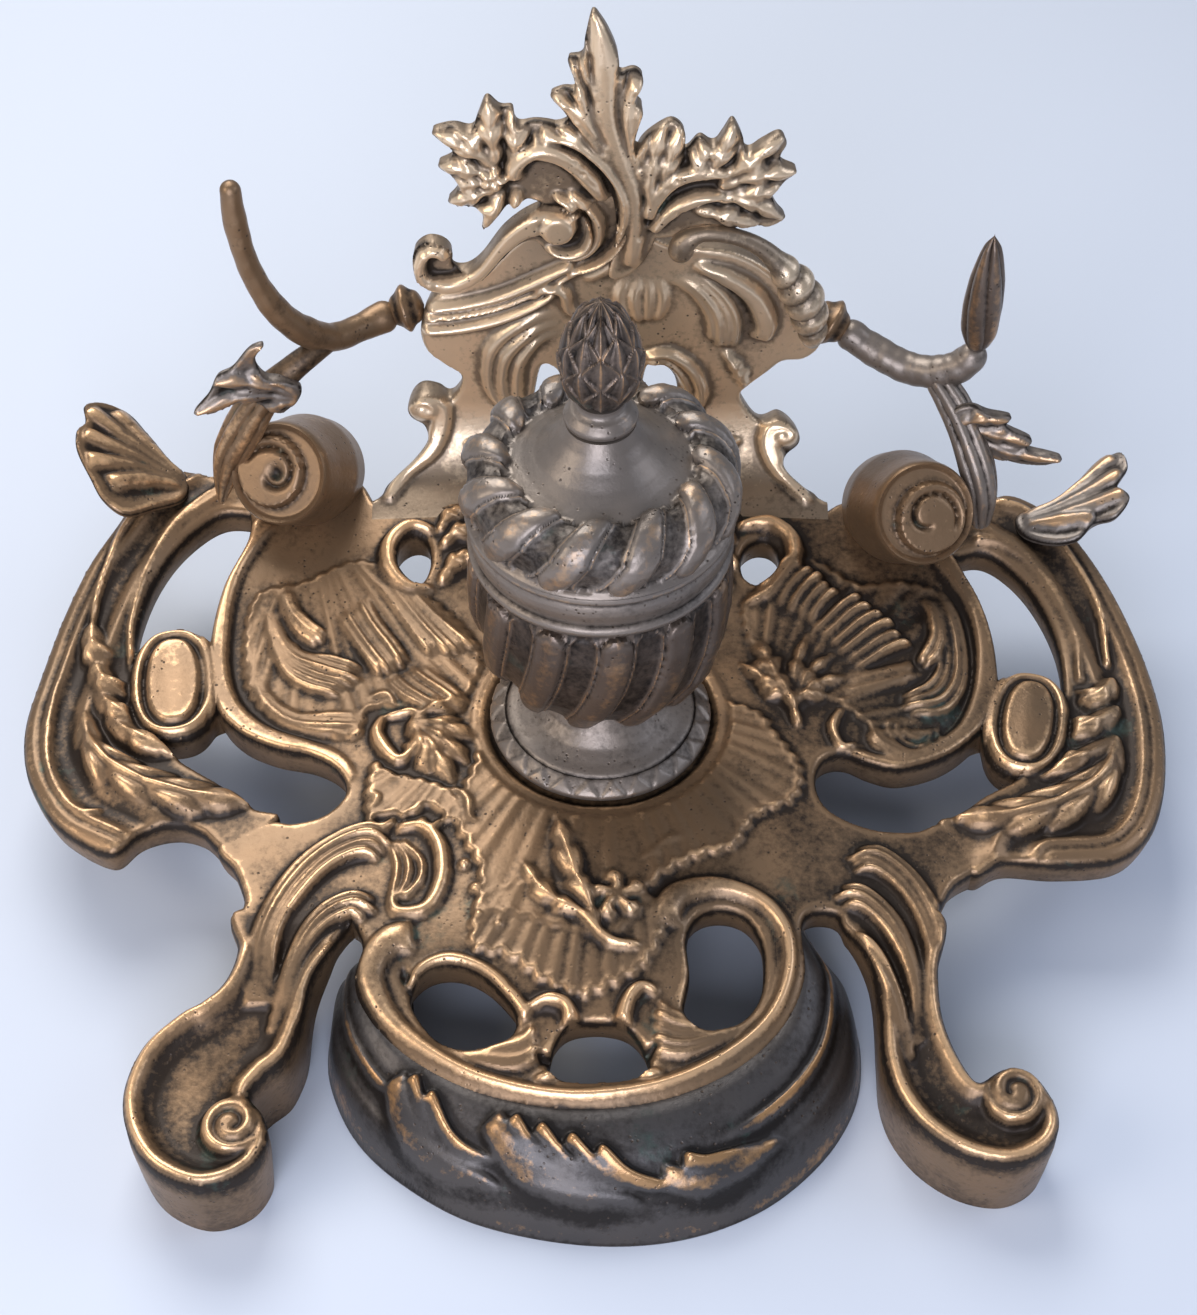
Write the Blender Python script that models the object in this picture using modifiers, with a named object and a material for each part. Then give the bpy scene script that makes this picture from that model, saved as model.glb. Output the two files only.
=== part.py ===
"""Desk inkstand: an openwork bronze tray with an upswept back, two branches and a covered urn.

The urn's axis is the centre of the drawing: plan outlines are shares of the deck's reach,
and the back's heights are shares of the back's module, counted from the urn's seat.
"""
import math

import bmesh
import bpy
from mathutils import Matrix, Vector

for old in list(bpy.data.objects):
    bpy.data.objects.remove(old, do_unlink=True)

# Tray sizes, in metres
TRAY_LENGTH = 0.302         # from one arm's outside to the other's
TRAY_LENGTH_SHARE = 3.02    # the same, counted in the deck's reach
DECK_REACH = TRAY_LENGTH / TRAY_LENGTH_SHARE
SEAT_HEIGHT = 0.036         # table to the flat that the urn stands on
CASTING_EDGE = 0.009        # thickness of the openwork casting at its edges
SIDE_FALL = 0.005           # the deck is this much lower at its sides
FRONT_FALL = 0.008          # and this much lower at its front edge
REAR_RISE = 0.014           # and this much higher where the back begins
JOINT_GAP = 0.0003          # between brazed or seated neighbours
SHEET_CELL = 0.015          # spacing of the faces that bend the castings
CELL_SHIFT_SHARE = 0.37     # keeps the cells' edges off the outlines' corners
APRON_CELL = 0.0055
OVERRUN = 0.004             # how far a cutter passes what it cuts

# Front apron and rim
APRON_EDGE = 0.0008         # least thickness where the apron meets the table
RIM_RADIUS = 0.0036
RIM_HEAD_RADIUS = 0.0062
RIM_LIFT_SHARE = 0.55       # the rim's middle over the deck, of its radius

# Cartouches, volutes, ears and rear feet
CARTOUCHE_LENGTH = 0.037
CARTOUCHE_WIDTH = 0.025
CARTOUCHE_PROUD = 0.0035
VOLUTE_RADIUS = 0.0145
VOLUTE_LENGTH = 0.024
VOLUTE_EYE_RADIUS = 0.006
VOLUTE_EYE_PROUD = 0.002
VOLUTE_NECK_SHARE = 0.82
VOLUTE_FACE_SHARE = 0.40
VOLUTE_STEPS = 24
EAR_THICKNESS = 0.0045
REAR_FOOT_LENGTH = 0.026
REAR_FOOT_WIDTH = 0.018

# Back
BACK_HEIGHT = 0.1555        # the urn's seat to the crest's tip
BACK_HEIGHT_SHARE = 1.555   # the same, counted in the back's module
BACK_MODULE = BACK_HEIGHT / BACK_HEIGHT_SHARE
BACK_THICKNESS = 0.006
SWEEP_START_SHARE = 0.66    # urn axis to the line where the back leaves the deck
SWEEP_REACH_SHARE = 0.25    # how far back the sweep carries the sheet
SWEEP_START = DECK_REACH * SWEEP_START_SHARE
SWEEP_REACH = DECK_REACH * SWEEP_REACH_SHARE
SWEEP_RISE = 0.028          # how far up the sweep carries it
CREST_THICKNESS = 0.008
ARC_RADIUS = 0.0045
ARC_SEAT_SHARE = 0.75       # the arc's middle before the back, of its radius

# Branches
COLLAR_RADIUS = 0.0062
STEM_RADIUS = 0.0042
DROP_RADIUS = 0.0052
CURL_RADIUS = 0.0042
BUD_RADIUS = 0.0052
BUD_LENGTH = 0.038
LEAF_THICKNESS = 0.0035
BRANCH_SEAT_SHARE = 0.9     # a branch's end over the tray, of its radius

# Urn, in heights above its seat
URN_FOOT_RADIUS = 0.0288
URN_FOOT_RING = 0.0040
URN_NECK_RADIUS = 0.0120
URN_FOOT_HEIGHT = 0.0210
BOWL_RADIUS = 0.0324
BOWL_EQUATOR = 0.0540
BOWL_TOP = 0.0645
BOWL_WALL = 0.0045
BAND_TOP = 0.0780
BAND_LIP_HEIGHT = 0.0760
BAND_WALL = 0.0025
LID_RADIUS = 0.0335
LID_RING_HEIGHT = 0.0850
LID_SHOULDER_HEIGHT = 0.0945
LID_SHOULDER_RADIUS = 0.0235
LID_TOP = 0.1040
LID_TOP_RADIUS = 0.0082
LID_WALL = 0.0028
SPIGOT_DEPTH = 0.0040
LINER_WALL = 0.0030
LINER_FLANGE = 0.0022
FINIAL_DISC_RADIUS = 0.0087
FINIAL_DISC_HEIGHT = 0.0044
FINIAL_NECK_RADIUS = 0.0056
FINIAL_NECK_HEIGHT = 0.0022
FINIAL_RADIUS = 0.0100
FINIAL_HEIGHT = 0.0275
ROD_RADIUS = 0.0020
NUT_RADIUS = 0.0048
NUT_HEIGHT = 0.0034
WASHER_RADIUS = 0.0085
WASHER_HEIGHT = 0.0016
LIFT_CLEARANCE = 0.0003

# Where the deck's slopes begin and end, as shares of its reach
SIDE_FALL_SHARES = (0.30, 1.10)
REAR_RISE_SHARES = (0.10, 0.85)
REAR_SPREAD_SHARES = (0.31, 0.75)
FRONT_FALL_SHARES = (0.60, 1.15)
LEG_DROP_SHARES = (0.66, 0.90)

# Plan outlines, as shares of the deck's reach
DECK_SHARES = (
    (-0.98, 0.60), (-0.98, 0.72), (-0.90, 0.80), (-0.78, 0.83), (-0.68, 0.80), (-0.63, 0.657),
    (0.63, 0.657), (0.67, 0.72), (0.76, 0.75), (0.88, 0.72), (0.96, 0.64), (0.985, 0.54),
    (1.045, 0.40), (1.07, 0.26), (1.06, 0.10), (1.00, -0.02), (0.90, -0.11), (0.78, -0.155),
    (0.70, -0.14), (0.635, -0.11), (0.58, -0.13), (0.555, -0.19), (0.565, -0.26), (0.61, -0.31),
    (0.70, -0.345), (0.80, -0.345), (0.88, -0.32), (0.95, -0.44), (0.88, -0.51), (0.835, -0.60),
    (0.82, -0.66), (0.62, -0.66), (0.58, -0.60), (0.50, -0.62), (0.495, -0.78), (0.43, -0.91),
    (0.305, -1.015), (0.12, -1.085), (-0.08, -1.10), (-0.28, -1.065), (-0.44, -0.99),
    (-0.54, -0.895), (-0.595, -0.79), (-0.58, -0.70), (-0.60, -0.64), (-0.64, -0.625),
    (-0.88, -0.625), (-0.885, -0.55), (-0.92, -0.46), (-0.97, -0.385), (-0.85, -0.315),
    (-0.78, -0.32), (-0.70, -0.295), (-0.655, -0.23), (-0.68, -0.165), (-0.75, -0.115),
    (-0.86, -0.08), (-0.96, -0.02), (-1.03, 0.08), (-1.06, 0.25), (-1.04, 0.44))
DECK_HOLE_SHARES = (
    ((-0.46, -0.83), (-0.43, -0.77), (-0.37, -0.75), (-0.30, -0.77), (-0.24, -0.82),
     (-0.20, -0.88), (-0.23, -0.93), (-0.32, -0.95), (-0.40, -0.92)),
    ((0.21, -0.68), (0.24, -0.62), (0.30, -0.60), (0.36, -0.625), (0.395, -0.70), (0.39, -0.81),
     (0.34, -0.88), (0.25, -0.905), (0.20, -0.86), (0.215, -0.77)),
    ((-0.08, -0.90), (0.06, -0.90), (0.115, -1.0), (0.0, -1.03), (-0.12, -1.01)),
    ((-0.555, 0.49), (-0.56, 0.56), (-0.52, 0.60), (-0.48, 0.58), (-0.47, 0.51), (-0.50, 0.45)),
    ((0.39, 0.49), (0.40, 0.56), (0.45, 0.59), (0.49, 0.56), (0.49, 0.49), (0.44, 0.45)))
LEFT_ARM_SHARES = (
    (-0.95, 0.69), (-0.96, 0.77), (-1.10, 0.82), (-1.20, 0.83), (-1.30, 0.75), (-1.36, 0.64),
    (-1.43, 0.50), (-1.49, 0.30), (-1.525, 0.06), (-1.51, -0.10), (-1.46, -0.22), (-1.38, -0.33),
    (-1.24, -0.41), (-1.17, -0.345), (-1.09, -0.32), (-1.02, -0.34), (-0.94, -0.40),
    (-0.82, -0.30), (-0.895, -0.265), (-0.98, -0.19), (-1.10, -0.105), (-1.18, -0.03),
    (-1.235, 0.06), (-1.255, 0.18), (-1.265, 0.32), (-1.24, 0.45), (-1.19, 0.56),
    (-1.12, 0.645), (-1.05, 0.69))
RIGHT_ARM_SHARES = (
    (0.95, 0.58), (0.97, 0.66), (1.06, 0.72), (1.16, 0.75), (1.26, 0.69), (1.34, 0.59),
    (1.42, 0.43), (1.475, 0.25), (1.495, 0.08), (1.485, -0.08), (1.45, -0.24), (1.39, -0.36),
    (1.30, -0.43), (1.15, -0.445), (1.02, -0.435), (0.93, -0.47), (0.86, -0.32), (0.92, -0.285),
    (0.99, -0.225), (1.08, -0.17), (1.16, -0.10), (1.21, 0.0), (1.24, 0.10), (1.25, 0.22),
    (1.235, 0.33), (1.19, 0.44), (1.13, 0.52), (1.06, 0.565), (0.98, 0.55))
LEFT_LEG_SHARES = (
    (-0.62, -0.61), (-0.90, -0.61), (-0.885, -0.70), (-0.91, -0.785), (-0.96, -0.835),
    (-1.01, -0.865), (-1.09, -0.945), (-1.125, -1.06), (-1.10, -1.17), (-1.03, -1.26),
    (-0.92, -1.305), (-0.82, -1.27), (-0.775, -1.19), (-0.79, -1.12), (-0.83, -1.07),
    (-0.80, -1.02), (-0.75, -0.97), (-0.72, -0.88), (-0.70, -0.78), (-0.65, -0.69))
RIGHT_LEG_SHARES = (
    (0.60, -0.64), (0.84, -0.64), (0.82, -0.75), (0.82, -0.87), (0.85, -0.97), (0.89, -1.035),
    (0.925, -1.02), (0.965, -1.005), (1.02, -1.02), (1.065, -1.08), (1.07, -1.15), (1.03, -1.21),
    (0.95, -1.245), (0.85, -1.225), (0.76, -1.16), (0.70, -1.07), (0.675, -0.97), (0.675, -0.86),
    (0.66, -0.75))
APRON_OUTLINE_SHARES = (
    (-0.56, -0.62), (-0.66, -0.68), (-0.68, -0.78), (-0.67, -0.90), (-0.60, -1.05),
    (-0.48, -1.17), (-0.30, -1.275), (-0.05, -1.33), (0.18, -1.32), (0.38, -1.245),
    (0.53, -1.12), (0.62, -0.98), (0.65, -0.84), (0.635, -0.70), (0.56, -0.60), (0.44, -0.60),
    (0.43, -0.78), (0.36, -0.87), (0.22, -0.96), (0.05, -1.00), (-0.15, -1.0), (-0.35, -0.94),
    (-0.47, -0.85), (-0.53, -0.74), (-0.52, -0.65))
APRON_FRONT_CORNERS = 15    # how many of the outline's corners follow the foot, from the first
RIM_SHARES = (
    (-0.455, -0.675), (-0.51, -0.685), (-0.55, -0.73), (-0.555, -0.79), (-0.51, -0.875),
    (-0.42, -0.955), (-0.275, -1.03), (-0.08, -1.07), (0.12, -1.05), (0.28, -0.985),
    (0.40, -0.89), (0.455, -0.78), (0.455, -0.67), (0.40, -0.585), (0.30, -0.545),
    (0.20, -0.565), (0.16, -0.62), (0.165, -0.66))
LEFT_CARTOUCHE_PLACE_SHARE = (-1.145, 0.14)
RIGHT_CARTOUCHE_PLACE_SHARE = (1.13, 0.01)
CARTOUCHE_LEAN_SHARE = 0.07
LEFT_REAR_FOOT_SHARE = (-0.82, 0.64)
RIGHT_REAR_FOOT_SHARE = (0.82, 0.56)
LEFT_VOLUTE_SHARE = (-0.86, 0.70)
RIGHT_VOLUTE_SHARE = (0.85, 0.57)
LEFT_VOLUTE_LIFT_SHARE = 0.93       # the volute's middle over the deck, of its radius
RIGHT_VOLUTE_LIFT_SHARE = 1.05
LEFT_VOLUTE_FACING_SHARES = (-0.25, -0.70, 0.60)
RIGHT_VOLUTE_FACING_SHARES = (0.20, -0.75, 0.60)
LEFT_EAR_SHARES = (
    (-1.17, 0.68), (-1.29, 0.60), (-1.38, 0.66), (-1.45, 0.76), (-1.46, 0.87), (-1.41, 0.97),
    (-1.34, 0.98), (-1.28, 0.88), (-1.17, 0.80))
RIGHT_EAR_SHARES = (
    (1.17, 0.60), (1.30, 0.53), (1.38, 0.56), (1.44, 0.60), (1.43, 0.66), (1.46, 0.74),
    (1.43, 0.79), (1.37, 0.76), (1.30, 0.69), (1.18, 0.67))
LEFT_EAR_SEAT_SHARE = (-1.17, 0.78)
RIGHT_EAR_SEAT_SHARE = (1.17, 0.66)
LEFT_EAR_SLOPE_SHARE = 0.22
RIGHT_EAR_SLOPE_SHARE = 0.16

# Raised work on the castings: routes in plan, each with its bar's radius, as shares of the reach
RAISED_SHARES = {
    "left_arm": (
        ((-1.38, 0.31, 0.03), (-1.35, 0.16, 0.045), (-1.295, 0.03, 0.042), (-1.19, -0.10, 0.02)),
        ((-1.37, 0.02, 0.03), (-1.31, -0.10, 0.055), (-1.18, -0.20, 0.055), (-1.03, -0.25, 0.045),
         (-0.92, -0.27, 0.015))),
    "right_arm": (
        ((1.37, 0.14, 0.03), (1.32, 0.06, 0.045), (1.265, -0.03, 0.042), (1.17, -0.13, 0.02)),
        ((1.36, -0.06, 0.03), (1.29, -0.18, 0.055), (1.17, -0.27, 0.055), (1.04, -0.31, 0.045),
         (0.92, -0.315, 0.015))),
    "tray_deck": (
        ((-0.83, -0.58, 0.02), (-0.76, -0.43, 0.045), (-0.64, -0.37, 0.048), (-0.53, -0.42, 0.02)),
        ((-0.76, -0.60, 0.02), (-0.69, -0.50, 0.035), (-0.58, -0.49, 0.015)),
        ((0.77, -0.62, 0.02), (0.77, -0.50, 0.036), (0.69, -0.42, 0.04), (0.60, -0.44, 0.02)),
        ((0.73, -0.63, 0.02), (0.69, -0.54, 0.03), (0.59, -0.54, 0.015)),
        ((0.05, -0.71, 0.015), (-0.04, -0.62, 0.035), (-0.08, -0.50, 0.035), (-0.12, -0.37, 0.012)),
        ((-0.02, -0.53, 0.02), (0.05, -0.57, 0.045), (0.12, -0.60, 0.02)),
        ((-0.93, 0.44, 0.02), (-0.94, 0.28, 0.032), (-0.84, 0.18, 0.036), (-0.68, 0.16, 0.02)),
        ((-0.71, 0.41, 0.02), (-0.57, 0.28, 0.04), (-0.45, 0.16, 0.04), (-0.35, 0.08, 0.018)),
        ((-0.53, 0.00, 0.025), (-0.45, -0.09, 0.038), (-0.39, -0.17, 0.018)),
        ((0.45, 0.32, 0.02), (0.54, 0.41, 0.038), (0.63, 0.48, 0.02)),
        ((0.64, 0.15, 0.02), (0.72, 0.26, 0.04), (0.80, 0.37, 0.02)),
        ((0.92, 0.46, 0.02), (0.96, 0.32, 0.03), (0.94, 0.18, 0.034), (0.86, 0.08, 0.032),
         (0.75, 0.05, 0.02)),
        ((0.64, 0.04, 0.015), (0.56, 0.16, 0.036), (0.49, 0.25, 0.015))),
}
RAISED_LIFT_SHARE = -0.15   # a raised bar's middle over the casting's face, of its radius

# The back's outline: across, and along the sheet from where it leaves the deck
BACK_SHARES = (
    (-0.61, 0.004), (-0.61, 0.15), (-0.57, 0.18), (-0.515, 0.24), (-0.495, 0.29), (-0.53, 0.34),
    (-0.525, 0.39), (-0.47, 0.43), (-0.42, 0.40), (-0.385, 0.49), (-0.44, 0.53), (-0.48, 0.58),
    (-0.485, 0.66), (-0.45, 0.76), (-0.38, 0.80), (-0.30, 0.86), (-0.22, 0.95), (-0.15, 1.00),
    (-0.10, 1.10), (-0.02, 1.16), (0.07, 1.12), (0.10, 1.00), (0.18, 0.94), (0.26, 0.93),
    (0.36, 0.91), (0.45, 0.85), (0.53, 0.75), (0.58, 0.67), (0.60, 0.60), (0.56, 0.55),
    (0.49, 0.55), (0.475, 0.49), (0.42, 0.46), (0.385, 0.42), (0.40, 0.36), (0.45, 0.33),
    (0.50, 0.35), (0.55, 0.31), (0.545, 0.26), (0.51, 0.24), (0.53, 0.18), (0.57, 0.13),
    (0.61, 0.11), (0.61, 0.004))
WINDOW_SHARES = (
    ((-0.165, 0.48), (-0.12, 0.45), (-0.10, 0.39), (-0.115, 0.34), (-0.17, 0.325),
     (-0.20, 0.345), (-0.185, 0.41)),
    ((0.13, 0.49), (0.18, 0.495), (0.21, 0.45), (0.215, 0.38), (0.20, 0.345), (0.14, 0.36),
     (0.115, 0.41)))

# Crest outlines: across, and up from the urn's seat, as shares of the back's module
CREST_LEAF_SHARES = (
    (0.02, 0.80), (0.045, 0.92), (0.05, 1.02), (0.01, 1.11), (-0.05, 1.17), (-0.12, 1.22),
    (-0.09, 1.26), (-0.125, 1.32), (-0.065, 1.33), (-0.075, 1.41), (-0.04, 1.46),
    (-0.02, 1.555), (0.03, 1.51), (0.05, 1.44), (0.05, 1.38), (0.085, 1.385), (0.11, 1.35),
    (0.10, 1.28), (0.09, 1.20), (0.10, 1.11), (0.12, 1.02), (0.115, 0.90), (0.09, 0.80))
CREST_LEFT_SPRAY_SHARES = (
    (-0.14, 1.02), (-0.20, 1.01), (-0.25, 0.99), (-0.30, 0.93), (-0.30, 1.0), (-0.39, 1.01),
    (-0.36, 1.07), (-0.40, 1.14), (-0.42, 1.21), (-0.35, 1.24), (-0.30, 1.25), (-0.275, 1.315),
    (-0.22, 1.285), (-0.20, 1.23), (-0.14, 1.235), (-0.10, 1.20), (-0.04, 1.13), (-0.02, 1.07),
    (-0.03, 1.02))
CREST_RIGHT_SPRAY_SHARES = (
    (0.15, 0.93), (0.145, 1.03), (0.125, 1.12), (0.14, 1.22), (0.175, 1.245), (0.205, 1.22),
    (0.215, 1.16), (0.26, 1.20), (0.29, 1.18), (0.32, 1.245), (0.35, 1.20), (0.37, 1.15),
    (0.43, 1.21), (0.465, 1.19), (0.46, 1.13), (0.495, 1.10), (0.45, 1.04), (0.41, 1.01),
    (0.475, 0.95), (0.42, 0.90), (0.35, 0.925), (0.27, 0.925), (0.20, 0.90))
CREST_BAR_SHARES = (
    (-0.485, 0.82), (-0.47, 0.87), (-0.43, 0.885), (-0.39, 0.86), (-0.385, 0.80), (-0.33, 0.81),
    (-0.25, 0.92), (-0.18, 0.98), (-0.12, 0.995), (-0.05, 0.97), (-0.02, 0.90), (-0.05, 0.84),
    (-0.12, 0.82), (-0.17, 0.88), (-0.22, 0.86), (-0.28, 0.80), (-0.34, 0.74), (-0.41, 0.71),
    (-0.47, 0.73))
CREST_ARC_SHARES = (
    (0.205, 0.82), (0.215, 0.87), (0.26, 0.895), (0.34, 0.885), (0.42, 0.84), (0.49, 0.76),
    (0.54, 0.67), (0.565, 0.58), (0.575, 0.52))

# Branch routes: across and back from the urn's axis, and up from its seat
LEFT_COLLAR_SHARES = ((-0.475, 0.93, 0.63), (-0.565, 0.915, 0.612))
LEFT_STEM_SHARES = (
    (-0.555, 0.917, 0.614), (-0.63, 0.87, 0.60), (-0.71, 0.79, 0.625), (-0.78, 0.73, 0.70),
    (-0.84, 0.70, 0.80), (-0.885, 0.69, 0.93), (-0.905, 0.69, 1.07), (-0.905, 0.70, 1.19))
LEFT_DROP_SHARES = (
    (-0.73, 0.76, 0.635), (-0.80, 0.72, 0.60), (-0.88, 0.70, 0.52), (-0.95, 0.69, 0.40),
    (-1.02, 0.69, 0.27), (-1.06, 0.69, 0.12))
LEFT_LEAF_SHARES = (
    (-0.80, 0.57), (-0.87, 0.60), (-0.90, 0.66), (-0.87, 0.71), (-0.92, 0.70), (-0.97, 0.64),
    (-1.01, 0.63), (-1.03, 0.585), (-1.07, 0.53), (-1.01, 0.52), (-0.95, 0.54), (-0.90, 0.51),
    (-0.85, 0.47), (-0.82, 0.51))
LEFT_LEAF_DEPTH_SHARE = 0.69
RIGHT_COLLAR_SHARES = ((0.58, 0.93, 0.60), (0.665, 0.905, 0.555))
RIGHT_STEM_SHARES = (
    (0.655, 0.908, 0.56), (0.74, 0.87, 0.515), (0.84, 0.82, 0.49), (0.93, 0.78, 0.515),
    (0.995, 0.77, 0.58))
RIGHT_CURL_SHARES = (
    (0.91, 0.79, 0.50), (0.955, 0.73, 0.44), (1.0, 0.66, 0.36), (1.035, 0.60, 0.26),
    (1.045, 0.58, 0.13))
RIGHT_LEAF_SHARES = (
    (0.94, 0.44), (1.02, 0.47), (1.10, 0.46), (1.09, 0.42), (1.16, 0.40), (1.15, 0.36),
    (1.24, 0.37), (1.20, 0.31), (1.12, 0.30), (1.04, 0.33), (0.97, 0.33))
RIGHT_LEAF_DEPTH_SHARE = 0.70
BUD_FOOT_SHARE = (1.0, 0.77, 0.60)

# The apron's section: out from the rim to the foot, and up as shares of the rim's height
APRON_SECTION_SHARES = (
    (0.0, 0.88), (0.20, 0.88), (0.36, 0.83), (0.50, 0.74), (0.62, 0.60), (0.70, 0.53), (0.76, 0.49),
    (0.86, 0.36), (0.94, 0.20), (1.0, 0.03))

# Turned outlines: radius and height, as shares of the piece's own
BUD_SHARES = ((0.55, 0.02), (1.0, 0.22), (0.95, 0.5), (0.6, 0.8), (0.15, 0.97))
FINIAL_SHARES = ((0.55, 0.0), (0.8, 0.12), (1.0, 0.4), (0.78, 0.68), (0.36, 0.9), (0.0, 1.0))
FOOT_HOLLOW_SHARES = ((0.86, 0.19), (0.70, 0.32), (0.50, 0.62))
BOWL_BELLY_SHARES = ((0.80, 0.17), (0.95, 0.48))
BOWL_INSIDE_SHARES = ((0.96, 0.49), (0.72, 0.0))
BOWL_LIP_SHARE = 0.97       # the bowl's top edge, of its radius
BOWL_FLOOR_SHARE = 2        # the bowl's floor, in thicknesses of its wall
BAND_WAIST_SHARE = 0.985
LINER_NARROW_SHARE = 0.68
LINER_WIDE_SHARE = 0.90
LID_BEND_SHARE = 0.93
LID_STEP_SHARE = 1.12
LID_CONE_SHARES = ((0.925, 0.980), (0.64, 1.016), (0.44, 1.061))
LID_UNDERSIDE_SHARE = 1.6   # the lid's thickness under its top, in thicknesses of its wall
DISC_EDGE_SHARE = 0.9
TURNED_STEPS = 32
ROD_STEPS = 16
NUT_SIDES = 6

# Finishes: colour, roughness and metallic value, and the pieces that have them
FINISHES = {
    "golden_bronze": ((0.36, 0.22, 0.11), 0.38, 1),
    "brown_bronze": ((0.20, 0.12, 0.07), 0.42, 1),
    "dark_bronze": ((0.09, 0.055, 0.035), 0.45, 1),
    "turned_iron": ((0.32, 0.31, 0.30), 0.50, 1),
    "pressed_glass": ((0.75, 0.85, 0.80), 0.08, 0),
}
FINISH_OF = {
    "brown_bronze": (
        "left_rear_foot", "right_rear_foot", "right_ear_shell", "left_branch_stem",
        "left_branch_drop", "left_branch_leaf", "right_branch_stem", "right_branch_curl",
        "right_branch_leaf", "urn_foot", "urn_band", "lid", "finial_disc"),
    "dark_bronze": ("right_branch_bud", "urn_bowl", "finial_cone"),
    "turned_iron": ("finial_nut", "urn_tie_rod", "urn_washer", "urn_nut"),
    "pressed_glass": ("ink_liner",),
}
GLASS_TRANSMISSION_SHARE = 0.9


def collection(name):
    made = bpy.data.collections.new(name)
    bpy.context.scene.collection.children.link(made)
    return made


PARTS = collection("desk_inkstand")
CUTTERS = collection("cutters")


def give_material(made, finish):
    """The piece's own material: its finish's colour, roughness and metallic value."""
    colour, roughness, metallic = FINISHES[finish]
    material = bpy.data.materials.new(f"{made.name}_{finish}")
    material.use_nodes = True
    shader = material.node_tree.nodes["Principled BSDF"]
    shader.inputs["Base Color"].default_value = (*colour, 1)
    shader.inputs["Roughness"].default_value = roughness
    shader.inputs["Metallic"].default_value = metallic
    if finish == "pressed_glass":
        shader.inputs["Transmission Weight"].default_value = GLASS_TRANSMISSION_SHARE
    made.data.materials.clear()
    made.data.materials.append(material)


def smooth(low, high, value):
    share = min(1.0, max(0.0, (value - low) / (high - low)))
    return share * share * (3 - 2 * share)


def deck_top(x, y):
    """Height of the casting's face over the table."""
    across, along = x / DECK_REACH, y / DECK_REACH
    radius = math.hypot(across, along)
    rise = REAR_RISE * smooth(*REAR_RISE_SHARES, along) * smooth(*REAR_SPREAD_SHARES, radius)
    fall = SIDE_FALL * smooth(*SIDE_FALL_SHARES, radius)
    return SEAT_HEIGHT + rise - fall - FRONT_FALL * smooth(*FRONT_FALL_SHARES, -along)


def deck_underside(x, y):
    return deck_top(x, y) - CASTING_EDGE


def leg_underside(x, y):
    return deck_underside(x, y) * (1 - smooth(*LEG_DROP_SHARES, -y / DECK_REACH))


def plan(shares):
    return [(x * DECK_REACH, y * DECK_REACH) for x, y in shares]


def in_space(share):
    x, y, z = share
    return Vector((x * DECK_REACH, y * DECK_REACH, SEAT_HEIGHT + z * BACK_MODULE))


def add_object(name, mesh, group):
    made = bpy.data.objects.new(name, mesh)
    group.objects.link(made)
    if group is CUTTERS:
        made.hide_render = True
        made.display_type = 'WIRE'
    return made


def flat_prism(name, outlines, half_height, offset=0.0, bevel=0.0):
    """A filled 2D curve, extruded, as a welded mesh; the first outline is the outer one."""
    curve = bpy.data.curves.new(name, 'CURVE')
    curve.dimensions = '2D'
    curve.fill_mode = 'BOTH'
    curve.extrude = half_height - bevel
    curve.bevel_depth = bevel
    curve.bevel_resolution = 0
    curve.offset = offset - bevel
    for points in outlines:
        spline = curve.splines.new('POLY')
        spline.points.add(len(points) - 1)
        for point, place in zip(spline.points, points):
            point.co = (*place, 0, 1)
        spline.use_cyclic_u = True
    return curve_to_mesh(name, curve)


def curve_to_mesh(name, curve):
    holder = bpy.data.objects.new(name, curve)
    bpy.context.scene.collection.objects.link(holder)
    depsgraph = bpy.context.evaluated_depsgraph_get()
    mesh = bpy.data.meshes.new_from_object(holder.evaluated_get(depsgraph))
    bpy.data.objects.remove(holder, do_unlink=True)
    shape = bmesh.new()
    shape.from_mesh(mesh)
    bmesh.ops.remove_doubles(shape, verts=shape.verts, dist=JOINT_GAP / 10)
    bmesh.ops.recalc_face_normals(shape, faces=shape.faces)
    shape.to_mesh(mesh)
    shape.free()
    return mesh


def apply_modifiers(made):
    depsgraph = bpy.context.evaluated_depsgraph_get()
    mesh = bpy.data.meshes.new_from_object(made.evaluated_get(depsgraph))
    made.modifiers.clear()
    made.data = mesh


def tidy_cut(made):
    """Welds the cut's slivers and drops loose offcuts, so that one closed body is left."""
    shape = bmesh.new()
    shape.from_mesh(made.data)
    bmesh.ops.remove_doubles(shape, verts=shape.verts, dist=JOINT_GAP / 10)
    bmesh.ops.dissolve_degenerate(shape, edges=shape.edges, dist=JOINT_GAP / 10)
    waiting = set(shape.verts)
    bodies = []
    while waiting:
        body = {waiting.pop()}
        edge_of_body = list(body)
        while edge_of_body:
            near = {other for edge in edge_of_body.pop().link_edges for other in edge.verts} - body
            body |= near
            edge_of_body.extend(near)
        waiting -= body
        bodies.append(body)
    bodies.sort(key=len)
    offcuts = [vert for body in bodies[:-1] for vert in body]
    bmesh.ops.delete(shape, geom=offcuts, context='VERTS')
    shape.to_mesh(made.data)
    shape.free()


def add_boolean(made, cutter, operation):
    cut = made.modifiers.new(cutter.name, 'BOOLEAN')
    cut.operation = operation
    cut.object = cutter


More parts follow.
